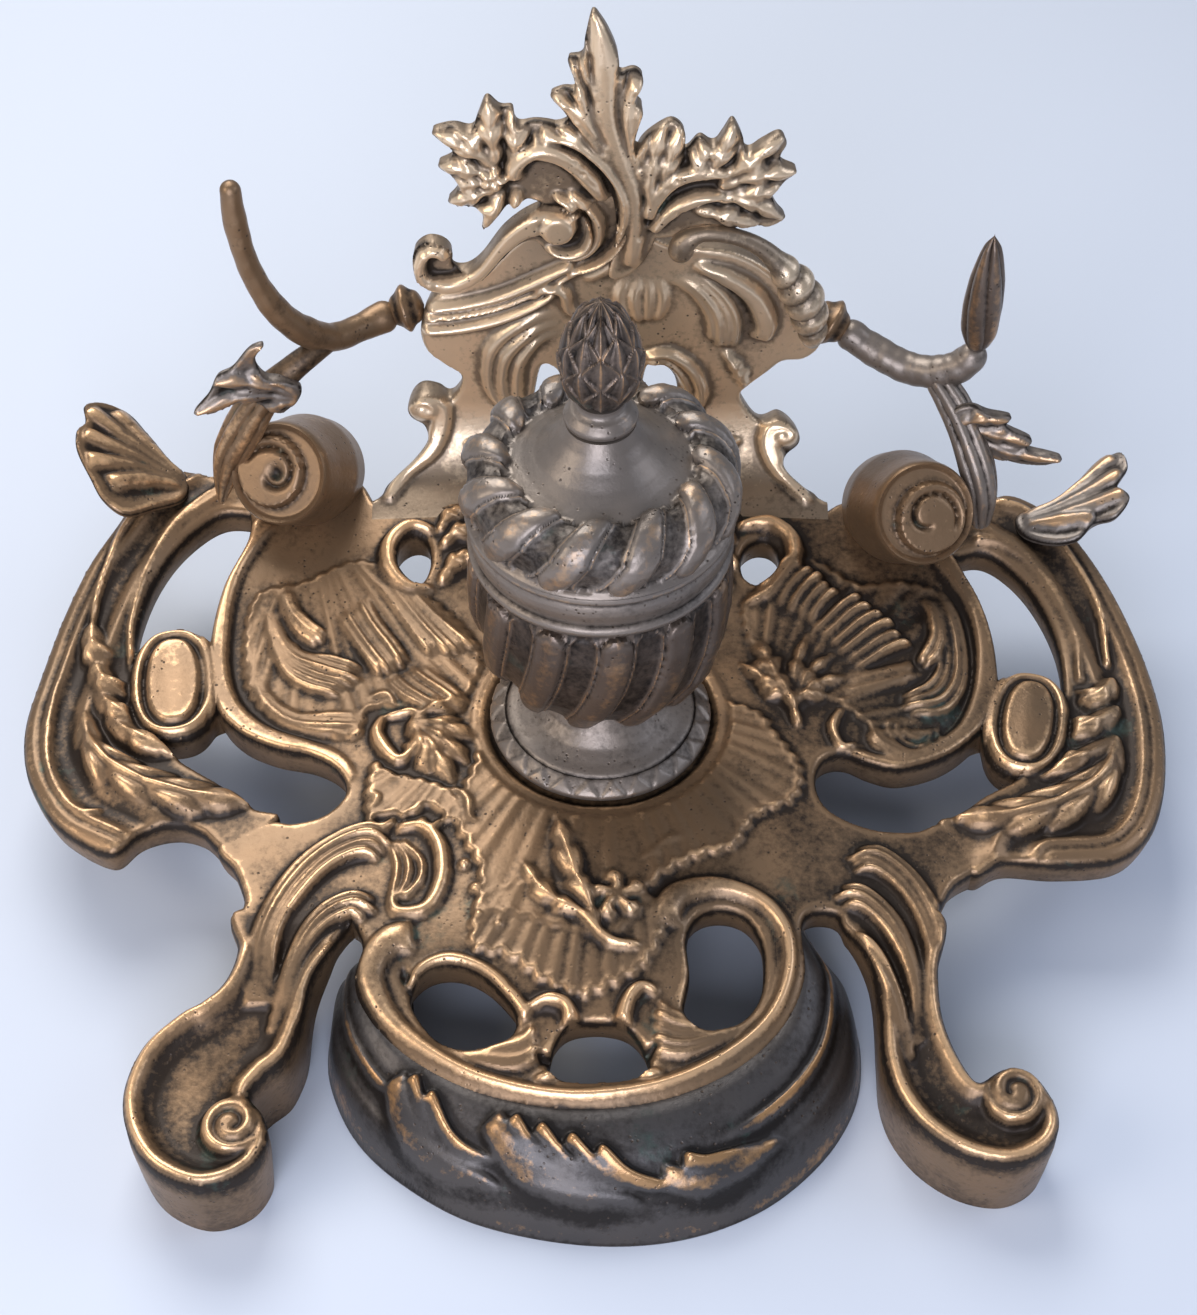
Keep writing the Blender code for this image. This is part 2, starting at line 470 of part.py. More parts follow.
def grid_slab(name, points, cell, half_height):
    """A flat slab over the points' box, divided into cells."""
    lows = [math.floor(min(point[axis] for point in points) / cell) - 1 for axis in (0, 1)]
    highs = [math.ceil(max(point[axis] for point in points) / cell) + 1 for axis in (0, 1)]
    shape = bmesh.new()
    bmesh.ops.create_grid(shape, x_segments=highs[0] - lows[0], y_segments=highs[1] - lows[1], size=1)
    for vert in shape.verts:
        for axis in (0, 1):
            share = (vert.co[axis] + 1) / 2
            vert.co[axis] = cell * (lows[axis] + share * (highs[axis] - lows[axis]) + CELL_SHIFT_SHARE)
        vert.co.z = half_height
    bottom = bmesh.ops.extrude_face_region(shape, geom=shape.faces[:])["geom"]
    for vert in (item for item in bottom if isinstance(item, bmesh.types.BMVert)):
        vert.co.z = -half_height
    bmesh.ops.recalc_face_normals(shape, faces=shape.faces)
    mesh = bpy.data.meshes.new(name)
    shape.to_mesh(mesh)
    shape.free()
    return add_object(name, mesh, CUTTERS)


def bent_sheet(name, outlines, neighbours, cell, place, group):
    """A flat slab cut to an outline, less its neighbours' outlines, then bent by place(x, y, up)."""
    slab = grid_slab(name, outlines[0], cell, CASTING_EDGE)
    depth = CASTING_EDGE + OVERRUN
    shapes = [(outlines, 'INTERSECT', 0.0)]
    shapes += [([outline], 'DIFFERENCE', JOINT_GAP) for outline in neighbours]
    for number, (outline, operation, offset) in enumerate(shapes):
        prism = flat_prism(f"{name}_outline_{number}", outline, depth, offset)
        add_boolean(slab, add_object(f"{name}_outline_{number}", prism, CUTTERS), operation)
    apply_modifiers(slab)
    tidy_cut(slab)
    mesh = slab.data
    for vert in mesh.vertices:
        vert.co = place(vert.co.x, vert.co.y, vert.co.z > 0)
    bpy.data.objects.remove(slab, do_unlink=True)
    return add_object(name, mesh, group)


def cast_sheet(name, outlines, neighbours=(), top=deck_top, underside=deck_underside, cell=SHEET_CELL):
    """A piece of the tray: its outline in plan, and its face and underside as heights."""
    def place(x, y, up):
        return Vector((x, y, top(x, y) if up else underside(x, y)))
    return bent_sheet(name, outlines, neighbours, cell, place, PARTS)


def clearance_copy(made, gap=JOINT_GAP):
    """The neighbour's shape, grown by the gap, as a cutter."""
    copy = add_object(f"{made.name}_clearance", made.data.copy(), CUTTERS)
    copy.matrix_world = made.matrix_world
    grow = copy.modifiers.new("grow", 'DISPLACE')
    grow.direction = 'NORMAL'
    grow.mid_level = 0
    grow.strength = gap * math.sqrt(2)
    return copy


def seat(made, *neighbours):
    """Cuts a piece to its neighbours' shapes, a joint's gap clear of them."""
    for neighbour in neighbours:
        add_boolean(made, clearance_copy(neighbour), 'DIFFERENCE')
    apply_modifiers(made)
    tidy_cut(made)
    return made


def round_bar(name, places, radii, sides=2):
    """A tube through the places, thick as the radii say, with filled ends."""
    curve = bpy.data.curves.new(name, 'CURVE')
    curve.dimensions = '3D'
    curve.bevel_depth = max(radii)
    curve.bevel_resolution = sides
    curve.use_fill_caps = True
    spline = curve.splines.new('POLY')
    spline.points.add(len(places) - 1)
    for point, place, radius in zip(spline.points, places, radii):
        point.co = (*place, 1)
        point.radius = radius / max(radii)
    return add_object(name, curve_to_mesh(name, curve), PARTS)


def raise_work(made):
    """Fuses the raised scrolls and leaves to a casting, as bars half sunk in its face."""
    for number, shares in enumerate(RAISED_SHARES[made.name]):
        places = []
        radii = [DECK_REACH * share for _, _, share in shares]
        for (x, y), radius in zip(plan([share[:2] for share in shares]), radii):
            places.append((x, y, deck_top(x, y) + radius * RAISED_LIFT_SHARE))
        bar = round_bar(f"{made.name}_raised_{number}", places, radii, sides=1)
        PARTS.objects.unlink(bar)
        CUTTERS.objects.link(bar)
        bar.hide_render = True
        bar.display_type = 'WIRE'
        add_boolean(made, bar, 'UNION')
    apply_modifiers(made)
    tidy_cut(made)


def tapered(radius, first_share, last_share, count):
    step = (last_share - first_share) / (count - 1)
    return [radius * (first_share + step * number) for number in range(count)]


def turned(name, profile, steps=TURNED_STEPS, closed=False):
    """A profile of (radius, height) turned about Z; a closed one is a ring with a bore."""
    mesh = bpy.data.meshes.new(name)
    count = len(profile)
    edges = [(number, number + 1) for number in range(count - 1)]
    if closed:
        edges.append((count - 1, 0))
    mesh.from_pydata([(radius, 0, height) for radius, height in profile], edges, [])
    made = add_object(name, mesh, PARTS)
    screw = made.modifiers.new("turn", 'SCREW')
    screw.steps = steps
    screw.render_steps = steps
    screw.use_merge_vertices = True
    screw.merge_threshold = JOINT_GAP / 10
    screw.use_normal_calculate = True
    apply_modifiers(made)
    shape = bmesh.new()
    shape.from_mesh(made.data)
    bmesh.ops.recalc_face_normals(shape, faces=shape.faces)
    shape.to_mesh(made.data)
    shape.free()
    made.data.shade_smooth()
    return made


def upright_plate(name, shares, thickness, depth):
    """An outline that stands up facing the front, its middle at the given depth."""
    points = [(x * DECK_REACH, SEAT_HEIGHT + z * BACK_MODULE) for x, z in shares]
    mesh = flat_prism(name, [points], thickness / 2)
    mesh.transform(Matrix.Rotation(math.pi / 2, 4, 'X'))
    mesh.transform(Matrix.Translation((0, depth, 0)))
    return add_object(name, mesh, PARTS)


def oval(length, width, lean, centre, count=20):
    """An oval outline: its long side runs along the plan's depth, turned by the lean."""
    points = []
    for number in range(count):
        turn = 2 * math.pi * number / count
        x = width / 2 * math.cos(turn)
        y = length / 2 * math.sin(turn)
        points.append((centre[0] + x * math.cos(lean) - y * math.sin(lean),
                       centre[1] + x * math.sin(lean) + y * math.cos(lean)))
    return points


def make_tray():
    deck_outline = plan(DECK_SHARES)
    deck = cast_sheet("tray_deck", [deck_outline] + [plan(hole) for hole in DECK_HOLE_SHARES])
    bolt_hole = add_object("bolt_hole", flat_prism(
        "bolt_hole", [oval(*[2 * (ROD_RADIUS + LIFT_CLEARANCE)] * 2, 0, (0, 0))],
        SEAT_HEIGHT * 2), CUTTERS)
    add_boolean(deck, bolt_hole, 'DIFFERENCE')
    apply_modifiers(deck)
    raise_work(deck)
    arms = {}
    for side, shares, place in (("left", LEFT_ARM_SHARES, LEFT_CARTOUCHE_PLACE_SHARE),
                                ("right", RIGHT_ARM_SHARES, RIGHT_CARTOUCHE_PLACE_SHARE)):
        arms[side] = cast_sheet(f"{side}_arm", [plan(shares)], [deck_outline])
        raise_work(arms[side])
        centre = plan([place])[0]
        lean = math.copysign(CARTOUCHE_LEAN_SHARE * math.pi, -centre[0])
        cast_sheet(f"{side}_cartouche", [oval(CARTOUCHE_LENGTH, CARTOUCHE_WIDTH, -lean, centre)],
                   [deck_outline, plan(shares)],
                   top=lambda x, y: deck_top(x, y) + CARTOUCHE_PROUD)
    for side, shares in (("left", LEFT_LEG_SHARES), ("right", RIGHT_LEG_SHARES)):
        cast_sheet(f"{side}_front_leg", [plan(shares)], [deck_outline], underside=leg_underside)
    for side, place in (("left", LEFT_REAR_FOOT_SHARE), ("right", RIGHT_REAR_FOOT_SHARE)):
        outline = oval(REAR_FOOT_WIDTH, REAR_FOOT_LENGTH, 0, plan([place])[0])
        cast_sheet(f"{side}_rear_foot", [outline],
                   top=lambda x, y: deck_underside(x, y) - JOINT_GAP * 2,
                   underside=lambda x, y: 0.0)
    return deck, arms, deck_outline


def nearest_distance(x, y, route):
    """Distance in plan from a point to a run of straight pieces."""
    best = math.inf
    for start, end in zip(route, route[1:]):
        run = Vector(end) - Vector(start)
        share = max(0.0, min(1.0, (Vector((x, y)) - Vector(start)).dot(run) / run.length_squared))
        best = min(best, (Vector((x, y)) - Vector(start) - share * run).length)
    return best


def make_apron(deck, deck_outline):
    rim_route = plan(RIM_SHARES)
    foot_route = plan(APRON_OUTLINE_SHARES[:APRON_FRONT_CORNERS])
    rim_high = [deck_top(x, y) + RIM_RADIUS * RIM_LIFT_SHARE for x, y in rim_route]

    def roll_top(x, y):
        from_rim = nearest_distance(x, y, rim_route)
        share = from_rim / (from_rim + nearest_distance(x, y, foot_route) + JOINT_GAP)
        for (near, high), (far, low) in zip(APRON_SECTION_SHARES, APRON_SECTION_SHARES[1:]):
            if share <= far:
                part = (share - near) / (far - near)
                height = high + part * (low - high)
                break
        nearness = [((x - a) ** 2 + (y - b) ** 2 + JOINT_GAP ** 2) ** -2 for a, b in rim_route]
        above = sum(near * high for near, high in zip(nearness, rim_high)) / sum(nearness)
        return max(height * above, APRON_EDGE)

    neighbours = [deck_outline, plan(LEFT_LEG_SHARES), plan(RIGHT_LEG_SHARES)]
    apron = cast_sheet("front_apron", [plan(APRON_OUTLINE_SHARES)], neighbours, top=roll_top,
                       underside=lambda x, y: 0.0, cell=APRON_CELL)
    places = [(x, y, deck_top(x, y) + RIM_RADIUS * RIM_LIFT_SHARE) for x, y in rim_route]
    radii = [RIM_RADIUS] * len(places)
    radii[0] = RIM_HEAD_RADIUS
    radii[-1] = RIM_HEAD_RADIUS
    rim = round_bar("front_rim", places, radii)
    seat(rim, deck, apron)
    return apron


def sweep(along):
    """Depth, height and lean of the back's middle, at a length along the sheet."""
    foot = deck_top(0, SWEEP_START)
    quarter = math.pi / 4 * (SWEEP_REACH + SWEEP_RISE)
    if along >= quarter:
        return SWEEP_START + SWEEP_REACH, foot + SWEEP_RISE + along - quarter, math.pi / 2
    turn = along / quarter * math.pi / 2
    depth = SWEEP_START + SWEEP_REACH * math.sin(turn)
    height = foot + SWEEP_RISE * (1 - math.cos(turn))
    return depth, height, math.atan2(SWEEP_RISE * math.sin(turn), SWEEP_REACH * math.cos(turn))


def make_back(deck):
    def place(x, along, up):
        depth, height, lean = sweep(along)
        reach = BACK_THICKNESS / 2 * (1 if up else -1)
        return Vector((x, depth - reach * math.sin(lean),
                       height - BACK_THICKNESS / 2 + reach * math.cos(lean)))

    outlines = [[(x * DECK_REACH, s * BACK_MODULE) for x, s in shares]
                for shares in (BACK_SHARES, *WINDOW_SHARES)]
    back = bent_sheet("back_plate", outlines, [], SHEET_CELL, place, PARTS)
    return seat(back, deck)


def make_volutes(deck, arms, back):
    profile = [(0, -VOLUTE_LENGTH / 2), (VOLUTE_RADIUS * VOLUTE_NECK_SHARE, -VOLUTE_LENGTH / 2),
               (VOLUTE_RADIUS, 0), (VOLUTE_RADIUS, VOLUTE_LENGTH * VOLUTE_FACE_SHARE),
               (VOLUTE_RADIUS * VOLUTE_NECK_SHARE, VOLUTE_LENGTH / 2),
               (VOLUTE_EYE_RADIUS, VOLUTE_LENGTH / 2),
               (VOLUTE_EYE_RADIUS, VOLUTE_LENGTH / 2 + VOLUTE_EYE_PROUD),
               (0, VOLUTE_LENGTH / 2 + VOLUTE_EYE_PROUD)]
    volutes = {}
    for side, place, lift, facing in (
            ("left", LEFT_VOLUTE_SHARE, LEFT_VOLUTE_LIFT_SHARE, LEFT_VOLUTE_FACING_SHARES),
            ("right", RIGHT_VOLUTE_SHARE, RIGHT_VOLUTE_LIFT_SHARE, RIGHT_VOLUTE_FACING_SHARES)):
        volute = turned(f"{side}_volute", profile, steps=VOLUTE_STEPS)
        x, y = plan([place])[0]
        middle = Vector((x, y, deck_top(x, y) + lift * VOLUTE_RADIUS))
        turn = Vector((0, 0, 1)).rotation_difference(Vector(facing).normalized())
        volute.matrix_world = Matrix.Translation(middle) @ turn.to_matrix().to_4x4()
        volutes[side] = seat(volute, deck, arms[side], back)
    return volutes


def make_ears(arms, volutes):
    for side, shares, seat_share, slope in (
            ("left", LEFT_EAR_SHARES, LEFT_EAR_SEAT_SHARE, LEFT_EAR_SLOPE_SHARE),
            ("right", RIGHT_EAR_SHARES, RIGHT_EAR_SEAT_SHARE, RIGHT_EAR_SLOPE_SHARE)):
        mesh = flat_prism(f"{side}_ear_shell", [plan(shares)], EAR_THICKNESS / 2,
                          bevel=EAR_THICKNESS / 6)
        x, y = plan([seat_share])[0]
        base = deck_top(x, y) + EAR_THICKNESS / 2
        for vert in mesh.vertices:
            vert.co.z += base + slope * (abs(vert.co.x) - abs(x))
        seat(add_object(f"{side}_ear_shell", mesh, PARTS), arms[side], volutes[side])


def make_crest(back):
    front = SWEEP_START + SWEEP_REACH - BACK_THICKNESS / 2
    depth = front - CREST_THICKNESS / 2 - JOINT_GAP
    leaf = upright_plate("crest_leaf", CREST_LEAF_SHARES, CREST_THICKNESS, depth)
    for side, shares in (("left", CREST_LEFT_SPRAY_SHARES), ("right", CREST_RIGHT_SPRAY_SHARES)):
        seat(upright_plate(f"crest_{side}_spray", shares, CREST_THICKNESS, depth), leaf)
    upright_plate("crest_scroll_bar", CREST_BAR_SHARES, CREST_THICKNESS, depth)
    arc_depth = front - ARC_RADIUS * ARC_SEAT_SHARE
    places = [(x * DECK_REACH, arc_depth, SEAT_HEIGHT + z * BACK_MODULE)
              for x, z in CREST_ARC_SHARES]
    arc = round_bar("crest_arc_scroll", places, tapered(ARC_RADIUS, 1, 1.3, len(places)))
    seat(arc, back, bpy.data.objects["crest_right_spray"])


def branch_bar(name, shares, radius, first_share, last_share, ends_on_tray=False):
    places = [in_space(share) for share in shares]
    if ends_on_tray:
        end = places[-1]
        end.z = deck_top(end.x, end.y) + radius * BRANCH_SEAT_SHARE
    return round_bar(name, places, tapered(radius, first_share, last_share, len(places)))


def branch_leaf(name, shares, depth, *neighbours):
    return seat(upright_plate(name, shares, LEAF_THICKNESS, depth), *neighbours)


def make_branches(deck, arms, back, volutes):
    collar = seat(branch_bar("left_branch_collar", LEFT_COLLAR_SHARES, COLLAR_RADIUS, 1, 0.9), back)
    stem = seat(branch_bar("left_branch_stem", LEFT_STEM_SHARES, STEM_RADIUS, 1, 0.6), collar)
    drop = seat(branch_bar("left_branch_drop", LEFT_DROP_SHARES, DROP_RADIUS, 0.8, 0.9, True),
                stem, deck, arms["left"], volutes["left"])
    depth = LEFT_LEAF_DEPTH_SHARE * DECK_REACH - DROP_RADIUS
    branch_leaf("left_branch_leaf", LEFT_LEAF_SHARES, depth, stem, drop)
    collar = seat(branch_bar("right_branch_collar", RIGHT_COLLAR_SHARES, COLLAR_RADIUS, 1, 0.9),
                  back, bpy.data.objects["crest_arc_scroll"])
    stem = seat(branch_bar("right_branch_stem", RIGHT_STEM_SHARES, STEM_RADIUS, 1, 1.1), collar)
    curl = seat(branch_bar("right_branch_curl", RIGHT_CURL_SHARES, CURL_RADIUS, 1, 1, True),
                stem, deck, arms["right"], volutes["right"])
    depth = RIGHT_LEAF_DEPTH_SHARE * DECK_REACH
    branch_leaf("right_branch_leaf", RIGHT_LEAF_SHARES, depth, stem, curl, volutes["right"])
    profile = [(0, 0)]
    profile += [(BUD_RADIUS * share, BUD_LENGTH * height) for share, height in BUD_SHARES]
    profile.append((0, BUD_LENGTH))
    bud = turned("right_branch_bud", profile, steps=ROD_STEPS)
    bud.location = in_space(BUD_FOOT_SHARE)
    seat(bud, stem)


def ring_profile(bore, floor, radius, top):
    return [(bore, floor), (radius, floor), (radius, top), (bore, top)]


def make_bowl(bore, floor):
    """The bowl, with the tie rod's hole in its foot; returns its inside radius too."""
    inner = BOWL_RADIUS - BOWL_WALL
    inside_floor = floor + BOWL_WALL * BOWL_FLOOR_SHARE
    bowl = turned("urn_bowl", [(0, floor), (URN_NECK_RADIUS, floor)] + [
        (BOWL_RADIUS * wide, floor + (BOWL_EQUATOR - floor) * high)
        for wide, high in BOWL_BELLY_SHARES] + [
        (BOWL_RADIUS, BOWL_EQUATOR), (BOWL_RADIUS * BOWL_LIP_SHARE, BOWL_TOP), (inner, BOWL_TOP)] + [
        (inner * wide, inside_floor + (BOWL_EQUATOR - inside_floor) * high)
        for wide, high in BOWL_INSIDE_SHARES] + [(0, inside_floor)])
    hole = turned("rod_hole", [
        (0, floor - OVERRUN), (bore, floor - OVERRUN), (bore, floor + BOWL_WALL),
        (0, floor + BOWL_WALL)], steps=ROD_STEPS)
    PARTS.objects.unlink(hole)
    CUTTERS.objects.link(hole)
    hole.hide_render = True
    hole.display_type = 'WIRE'
    add_boolean(bowl, hole, 'DIFFERENCE')
    apply_modifiers(bowl)
    return bowl, inner, inside_floor


def make_lid(bore, spigot, lid_floor):
    """The lid, with its disc, its pinecone on a threaded stud, and the nut inside."""
    spigot_bore = spigot - LID_WALL / 2
    under_top = LID_TOP - LID_WALL * LID_UNDERSIDE_SHARE
    lid = turned("lid", [
        (bore, LID_TOP), (bore, LID_TOP - LID_WALL), (LID_TOP_RADIUS, under_top),
        *((LID_SHOULDER_RADIUS * wide - LID_WALL * 0.75, LID_SHOULDER_HEIGHT * high - LID_WALL)
          for wide, high in reversed(LID_CONE_SHARES)),
        (spigot_bore, LID_RING_HEIGHT), (spigot_bore, lid_floor - SPIGOT_DEPTH),
        (spigot, lid_floor - SPIGOT_DEPTH), (spigot, lid_floor), (BOWL_RADIUS, lid_floor),
        (LID_RADIUS, LID_RING_HEIGHT),
        (LID_RADIUS * LID_BEND_SHARE, (LID_RING_HEIGHT + LID_SHOULDER_HEIGHT) / 2),
        (LID_SHOULDER_RADIUS * LID_STEP_SHARE, LID_SHOULDER_HEIGHT),
        *((LID_SHOULDER_RADIUS * wide, LID_SHOULDER_HEIGHT * high) for wide, high in LID_CONE_SHARES),
        (LID_TOP_RADIUS, LID_TOP)], closed=True)
    disc_floor = LID_TOP + JOINT_GAP
    disc_top = disc_floor + FINIAL_DISC_HEIGHT
    neck_top = disc_top + FINIAL_NECK_HEIGHT
    edge = FINIAL_DISC_RADIUS * DISC_EDGE_SHARE
    disc = turned("finial_disc", [
        (bore, disc_floor), (edge, disc_floor), (FINIAL_DISC_RADIUS, (disc_floor + disc_top) / 2),
        (edge, disc_top), (FINIAL_NECK_RADIUS, disc_top), (FINIAL_NECK_RADIUS, neck_top),
        (bore, neck_top)], closed=True)
    cone_floor = neck_top + JOINT_GAP
    nut_top = under_top - JOINT_GAP
    stud_foot = nut_top - NUT_HEIGHT
    cone = turned("finial_cone", [(0, stud_foot), (ROD_RADIUS, stud_foot), (ROD_RADIUS, cone_floor)]
                  + [(FINIAL_RADIUS * wide, cone_floor + FINIAL_HEIGHT * high)
                     for wide, high in FINIAL_SHARES])
    nut = turned("finial_nut", ring_profile(bore, nut_top - NUT_HEIGHT, NUT_RADIUS, nut_top),
                 steps=NUT_SIDES, closed=True)
    return lid, disc, cone, nut


def make_urn():
    bore = ROD_RADIUS + LIFT_CLEARANCE
    foot = turned("urn_foot", [
        (bore, 0), (URN_FOOT_RADIUS, 0), (URN_FOOT_RADIUS, URN_FOOT_RING / 3)] + [
        (URN_FOOT_RADIUS * wide, URN_FOOT_HEIGHT * high) for wide, high in FOOT_HOLLOW_SHARES] + [
        (URN_NECK_RADIUS, URN_FOOT_HEIGHT * DISC_EDGE_SHARE), (URN_NECK_RADIUS, URN_FOOT_HEIGHT),
        (bore, URN_FOOT_HEIGHT)], closed=True)
    bowl_floor = URN_FOOT_HEIGHT + JOINT_GAP
    bowl, inner, inside_floor = make_bowl(bore, bowl_floor)
    lip = BOWL_RADIUS * BOWL_LIP_SHARE
    band_floor = BOWL_TOP + JOINT_GAP
    band_bore = lip - BAND_WALL
    band = turned("urn_band", [
        (band_bore, band_floor), (lip * BAND_WAIST_SHARE, band_floor),
        (lip * BAND_WAIST_SHARE, BAND_LIP_HEIGHT - BAND_WALL), (BOWL_RADIUS, BAND_LIP_HEIGHT),
        (BOWL_RADIUS * BAND_WAIST_SHARE, BAND_TOP), (band_bore, BAND_TOP)], closed=True)
    narrow = inner * LINER_NARROW_SHARE
    wide = inner * LINER_WIDE_SHARE
    flange = band_bore - JOINT_GAP
    flange_top = band_floor + LINER_FLANGE
    liner_floor = inside_floor + JOINT_GAP
    liner = turned("ink_liner", [
        (0, liner_floor), (narrow * LINER_WIDE_SHARE, liner_floor),
        (narrow, liner_floor + LINER_WALL), (wide, BOWL_EQUATOR), (wide, band_floor),
        (flange, band_floor), (flange, flange_top), (wide - LINER_WALL, flange_top),
        (wide - LINER_WALL, BOWL_EQUATOR), (narrow - LINER_WALL, liner_floor + LINER_WALL),
        (0, liner_floor + LINER_WALL)])
    rod_top = bowl_floor + BOWL_WALL - JOINT_GAP
    washer_top = -CASTING_EDGE - JOINT_GAP
    washer_floor = washer_top - WASHER_HEIGHT
    nut_top = washer_floor - JOINT_GAP
    rod_foot = nut_top - NUT_HEIGHT - ROD_RADIUS
    rod = turned("urn_tie_rod", [(0, rod_foot), (ROD_RADIUS, rod_foot), (ROD_RADIUS, rod_top),
                                 (0, rod_top)], steps=ROD_STEPS)
    washer = turned("urn_washer", ring_profile(bore, washer_floor, WASHER_RADIUS, washer_top),
                    closed=True)
    rod_nut = turned("urn_nut", ring_profile(bore, nut_top - NUT_HEIGHT, NUT_RADIUS, nut_top),
                     steps=NUT_SIDES, closed=True)
    seat_level = SEAT_HEIGHT + JOINT_GAP
    for piece in (foot, bowl, band, liner):
        piece.location.z = seat_level
    for piece in (rod, washer, rod_nut):
        piece.location.z = SEAT_HEIGHT
    lift = bpy.data.objects.new("lid_lift", None)
    bpy.context.scene.collection.objects.link(lift)
    lift.location.z = seat_level
    for piece in make_lid(bore, band_bore - LIFT_CLEARANCE, BAND_TOP + JOINT_GAP):
        piece.parent = lift


def stand_on_origin():
    """Moves everything so that the origin is under the middle of the object's box."""
    bpy.context.view_layer.update()
    corners = [made.matrix_world @ Vector(corner) for made in PARTS.objects
               for corner in made.bound_box]
    stand = bpy.data.objects.new("stand", None)
    bpy.context.scene.collection.objects.link(stand)
    stand.location.x = -(min(corner.x for corner in corners) + max(corner.x for corner in corners)) / 2
    stand.location.y = -(min(corner.y for corner in corners) + max(corner.y for corner in corners)) / 2
    for made in bpy.context.scene.objects:
        if made.parent is None and made is not stand:
            made.parent = stand


deck, arms, deck_outline = make_tray()
apron = make_apron(deck, deck_outline)
back = make_back(deck)
volutes = make_volutes(deck, arms, back)
make_ears(arms, volutes)
make_crest(back)
make_branches(deck, arms, back, volutes)
make_urn()
for part in PARTS.objects:
    finishes = [finish for finish, names in FINISH_OF.items() if part.name in names]
    give_material(part, finishes[0] if finishes else "golden_bronze")
stand_on_origin()
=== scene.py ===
"""Desk inkstand in old patinated bronze: the looks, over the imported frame.

Outlines and routes are in millimetres from the urn's axis, with heights from the table.
The castings are pressed as relief into fine sheets, cut out along their outlines and given
walls and an underside, the way a founder's wax is worked.
"""
import math

import bpy
import numpy as np
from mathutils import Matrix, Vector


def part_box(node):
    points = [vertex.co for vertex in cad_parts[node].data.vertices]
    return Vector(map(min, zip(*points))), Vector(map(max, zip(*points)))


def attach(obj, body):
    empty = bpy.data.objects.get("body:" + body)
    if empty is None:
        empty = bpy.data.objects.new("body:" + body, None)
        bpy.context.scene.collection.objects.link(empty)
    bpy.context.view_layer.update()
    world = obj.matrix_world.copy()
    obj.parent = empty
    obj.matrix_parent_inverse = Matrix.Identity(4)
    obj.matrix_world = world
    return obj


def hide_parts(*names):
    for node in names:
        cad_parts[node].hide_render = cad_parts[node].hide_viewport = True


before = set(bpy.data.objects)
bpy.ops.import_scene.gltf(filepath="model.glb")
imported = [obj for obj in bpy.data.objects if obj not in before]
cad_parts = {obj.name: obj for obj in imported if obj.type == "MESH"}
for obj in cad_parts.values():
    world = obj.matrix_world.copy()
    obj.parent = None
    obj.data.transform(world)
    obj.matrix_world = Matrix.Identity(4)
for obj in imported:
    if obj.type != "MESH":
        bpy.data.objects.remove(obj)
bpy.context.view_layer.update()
bpy.ops.object.select_all(action='DESELECT')

# Camera, floor and light
# The photograph looks down on the inkstand from the front, at 48 degrees, in soft studio light
# from above and behind, with a weaker light on each side and a broad one low in front.
bpy.ops.object.camera_add(location=(0.0010, -0.3662, 0.4876), rotation=(math.radians(41.8), 0, 0))
camera = bpy.context.object
camera.data.lens = 61.6
camera.data.sensor_width = 36
bpy.context.scene.camera = camera
bpy.context.scene.view_settings.view_transform = 'Standard'


def linear(code):
    """An sRGB hex colour as Blender's linear values."""
    parts = [int(code[place:place + 2], 16) / 255 for place in (0, 2, 4)]
    return [part / 12.92 if part <= 0.04045 else ((part + 0.055) / 1.055) ** 2.4 for part in parts] + [1]


# Painted board, matt and pale
bpy.ops.mesh.primitive_plane_add(size=8)
floor = bpy.context.object
floor.name = "floor"
board = bpy.data.materials.new("matt painted board")
board.use_nodes = True
board.node_tree.nodes["Principled BSDF"].inputs["Base Color"].default_value = linear("C4C9D2")
board.node_tree.nodes["Principled BSDF"].inputs["Roughness"].default_value = 0.9
floor.data.materials.append(board)

world = bpy.data.worlds.new("studio")
world.use_nodes = True
bpy.context.scene.world = world
world.node_tree.nodes["Background"].inputs["Color"].default_value = linear("AEB8C8")
world.node_tree.nodes["Background"].inputs["Strength"].default_value = 0.55
# place, turn in degrees, size in metres, watts, colour
SOFTBOXES = (
    ((-0.25, 0.55, 0.80), (-38, -14, 0), 0.60, 7.6, "FFFFFF"),
    ((-0.75, -0.25, 0.60), (38, -50, 0), 0.50, 3.4, "FFF4E6"),
    ((0.80, 0.05, 0.60), (0, 53, 0), 0.50, 1.8, "DCE8FF"),
    ((-0.12, -0.85, 0.46), (62, 0, -8), 0.60, 8.8, "E6ECFF"),
)
for place, turn, size, watts, colour in SOFTBOXES:
    bpy.ops.object.light_add(type='AREA', location=place, rotation=[math.radians(part) for part in turn])
    lamp = bpy.context.object.data
    lamp.size = size
    lamp.energy = watts
    lamp.color = linear(colour)[:3]

# Tray: the relief
# One openwork casting in bronze, chased by hand: shells, leaves and scrolls stand out from a
# gently dished face that is lowest at the sides and front and rises where the back begins.
# metres in a millimetre, the width of a cell of relief, and the gap between castings
MM = 0.001
CELL = 0.45
SEAM = 0.3
foot_low, foot_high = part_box("urn_foot")
AXIS = ((foot_low.x + foot_high.x) / 2, (foot_low.y + foot_high.y) / 2)
SEAT = foot_low.z / MM - SEAM
# how far the deck rises at the back, and falls at its outer edge and at the front
BACK_RISE = 14
EDGE_FALL = 5
FRONT_FALL = 8


def ease(low, high, value):
    """From 0 to 1 between low and high, with a soft start and end."""
    share = np.clip((value - low) / (high - low), 0, 1)
    return share * share * (3 - 2 * share)


def deck_face(x, y):
    """The height of the tray's bare face, before its relief."""
    radius = np.hypot(x, y)
    rise = BACK_RISE * ease(10, 85, y) * ease(31, 75, radius)
    return SEAT + rise - EDGE_FALL * ease(30, 110, radius) - FRONT_FALL * ease(60, 115, -y)


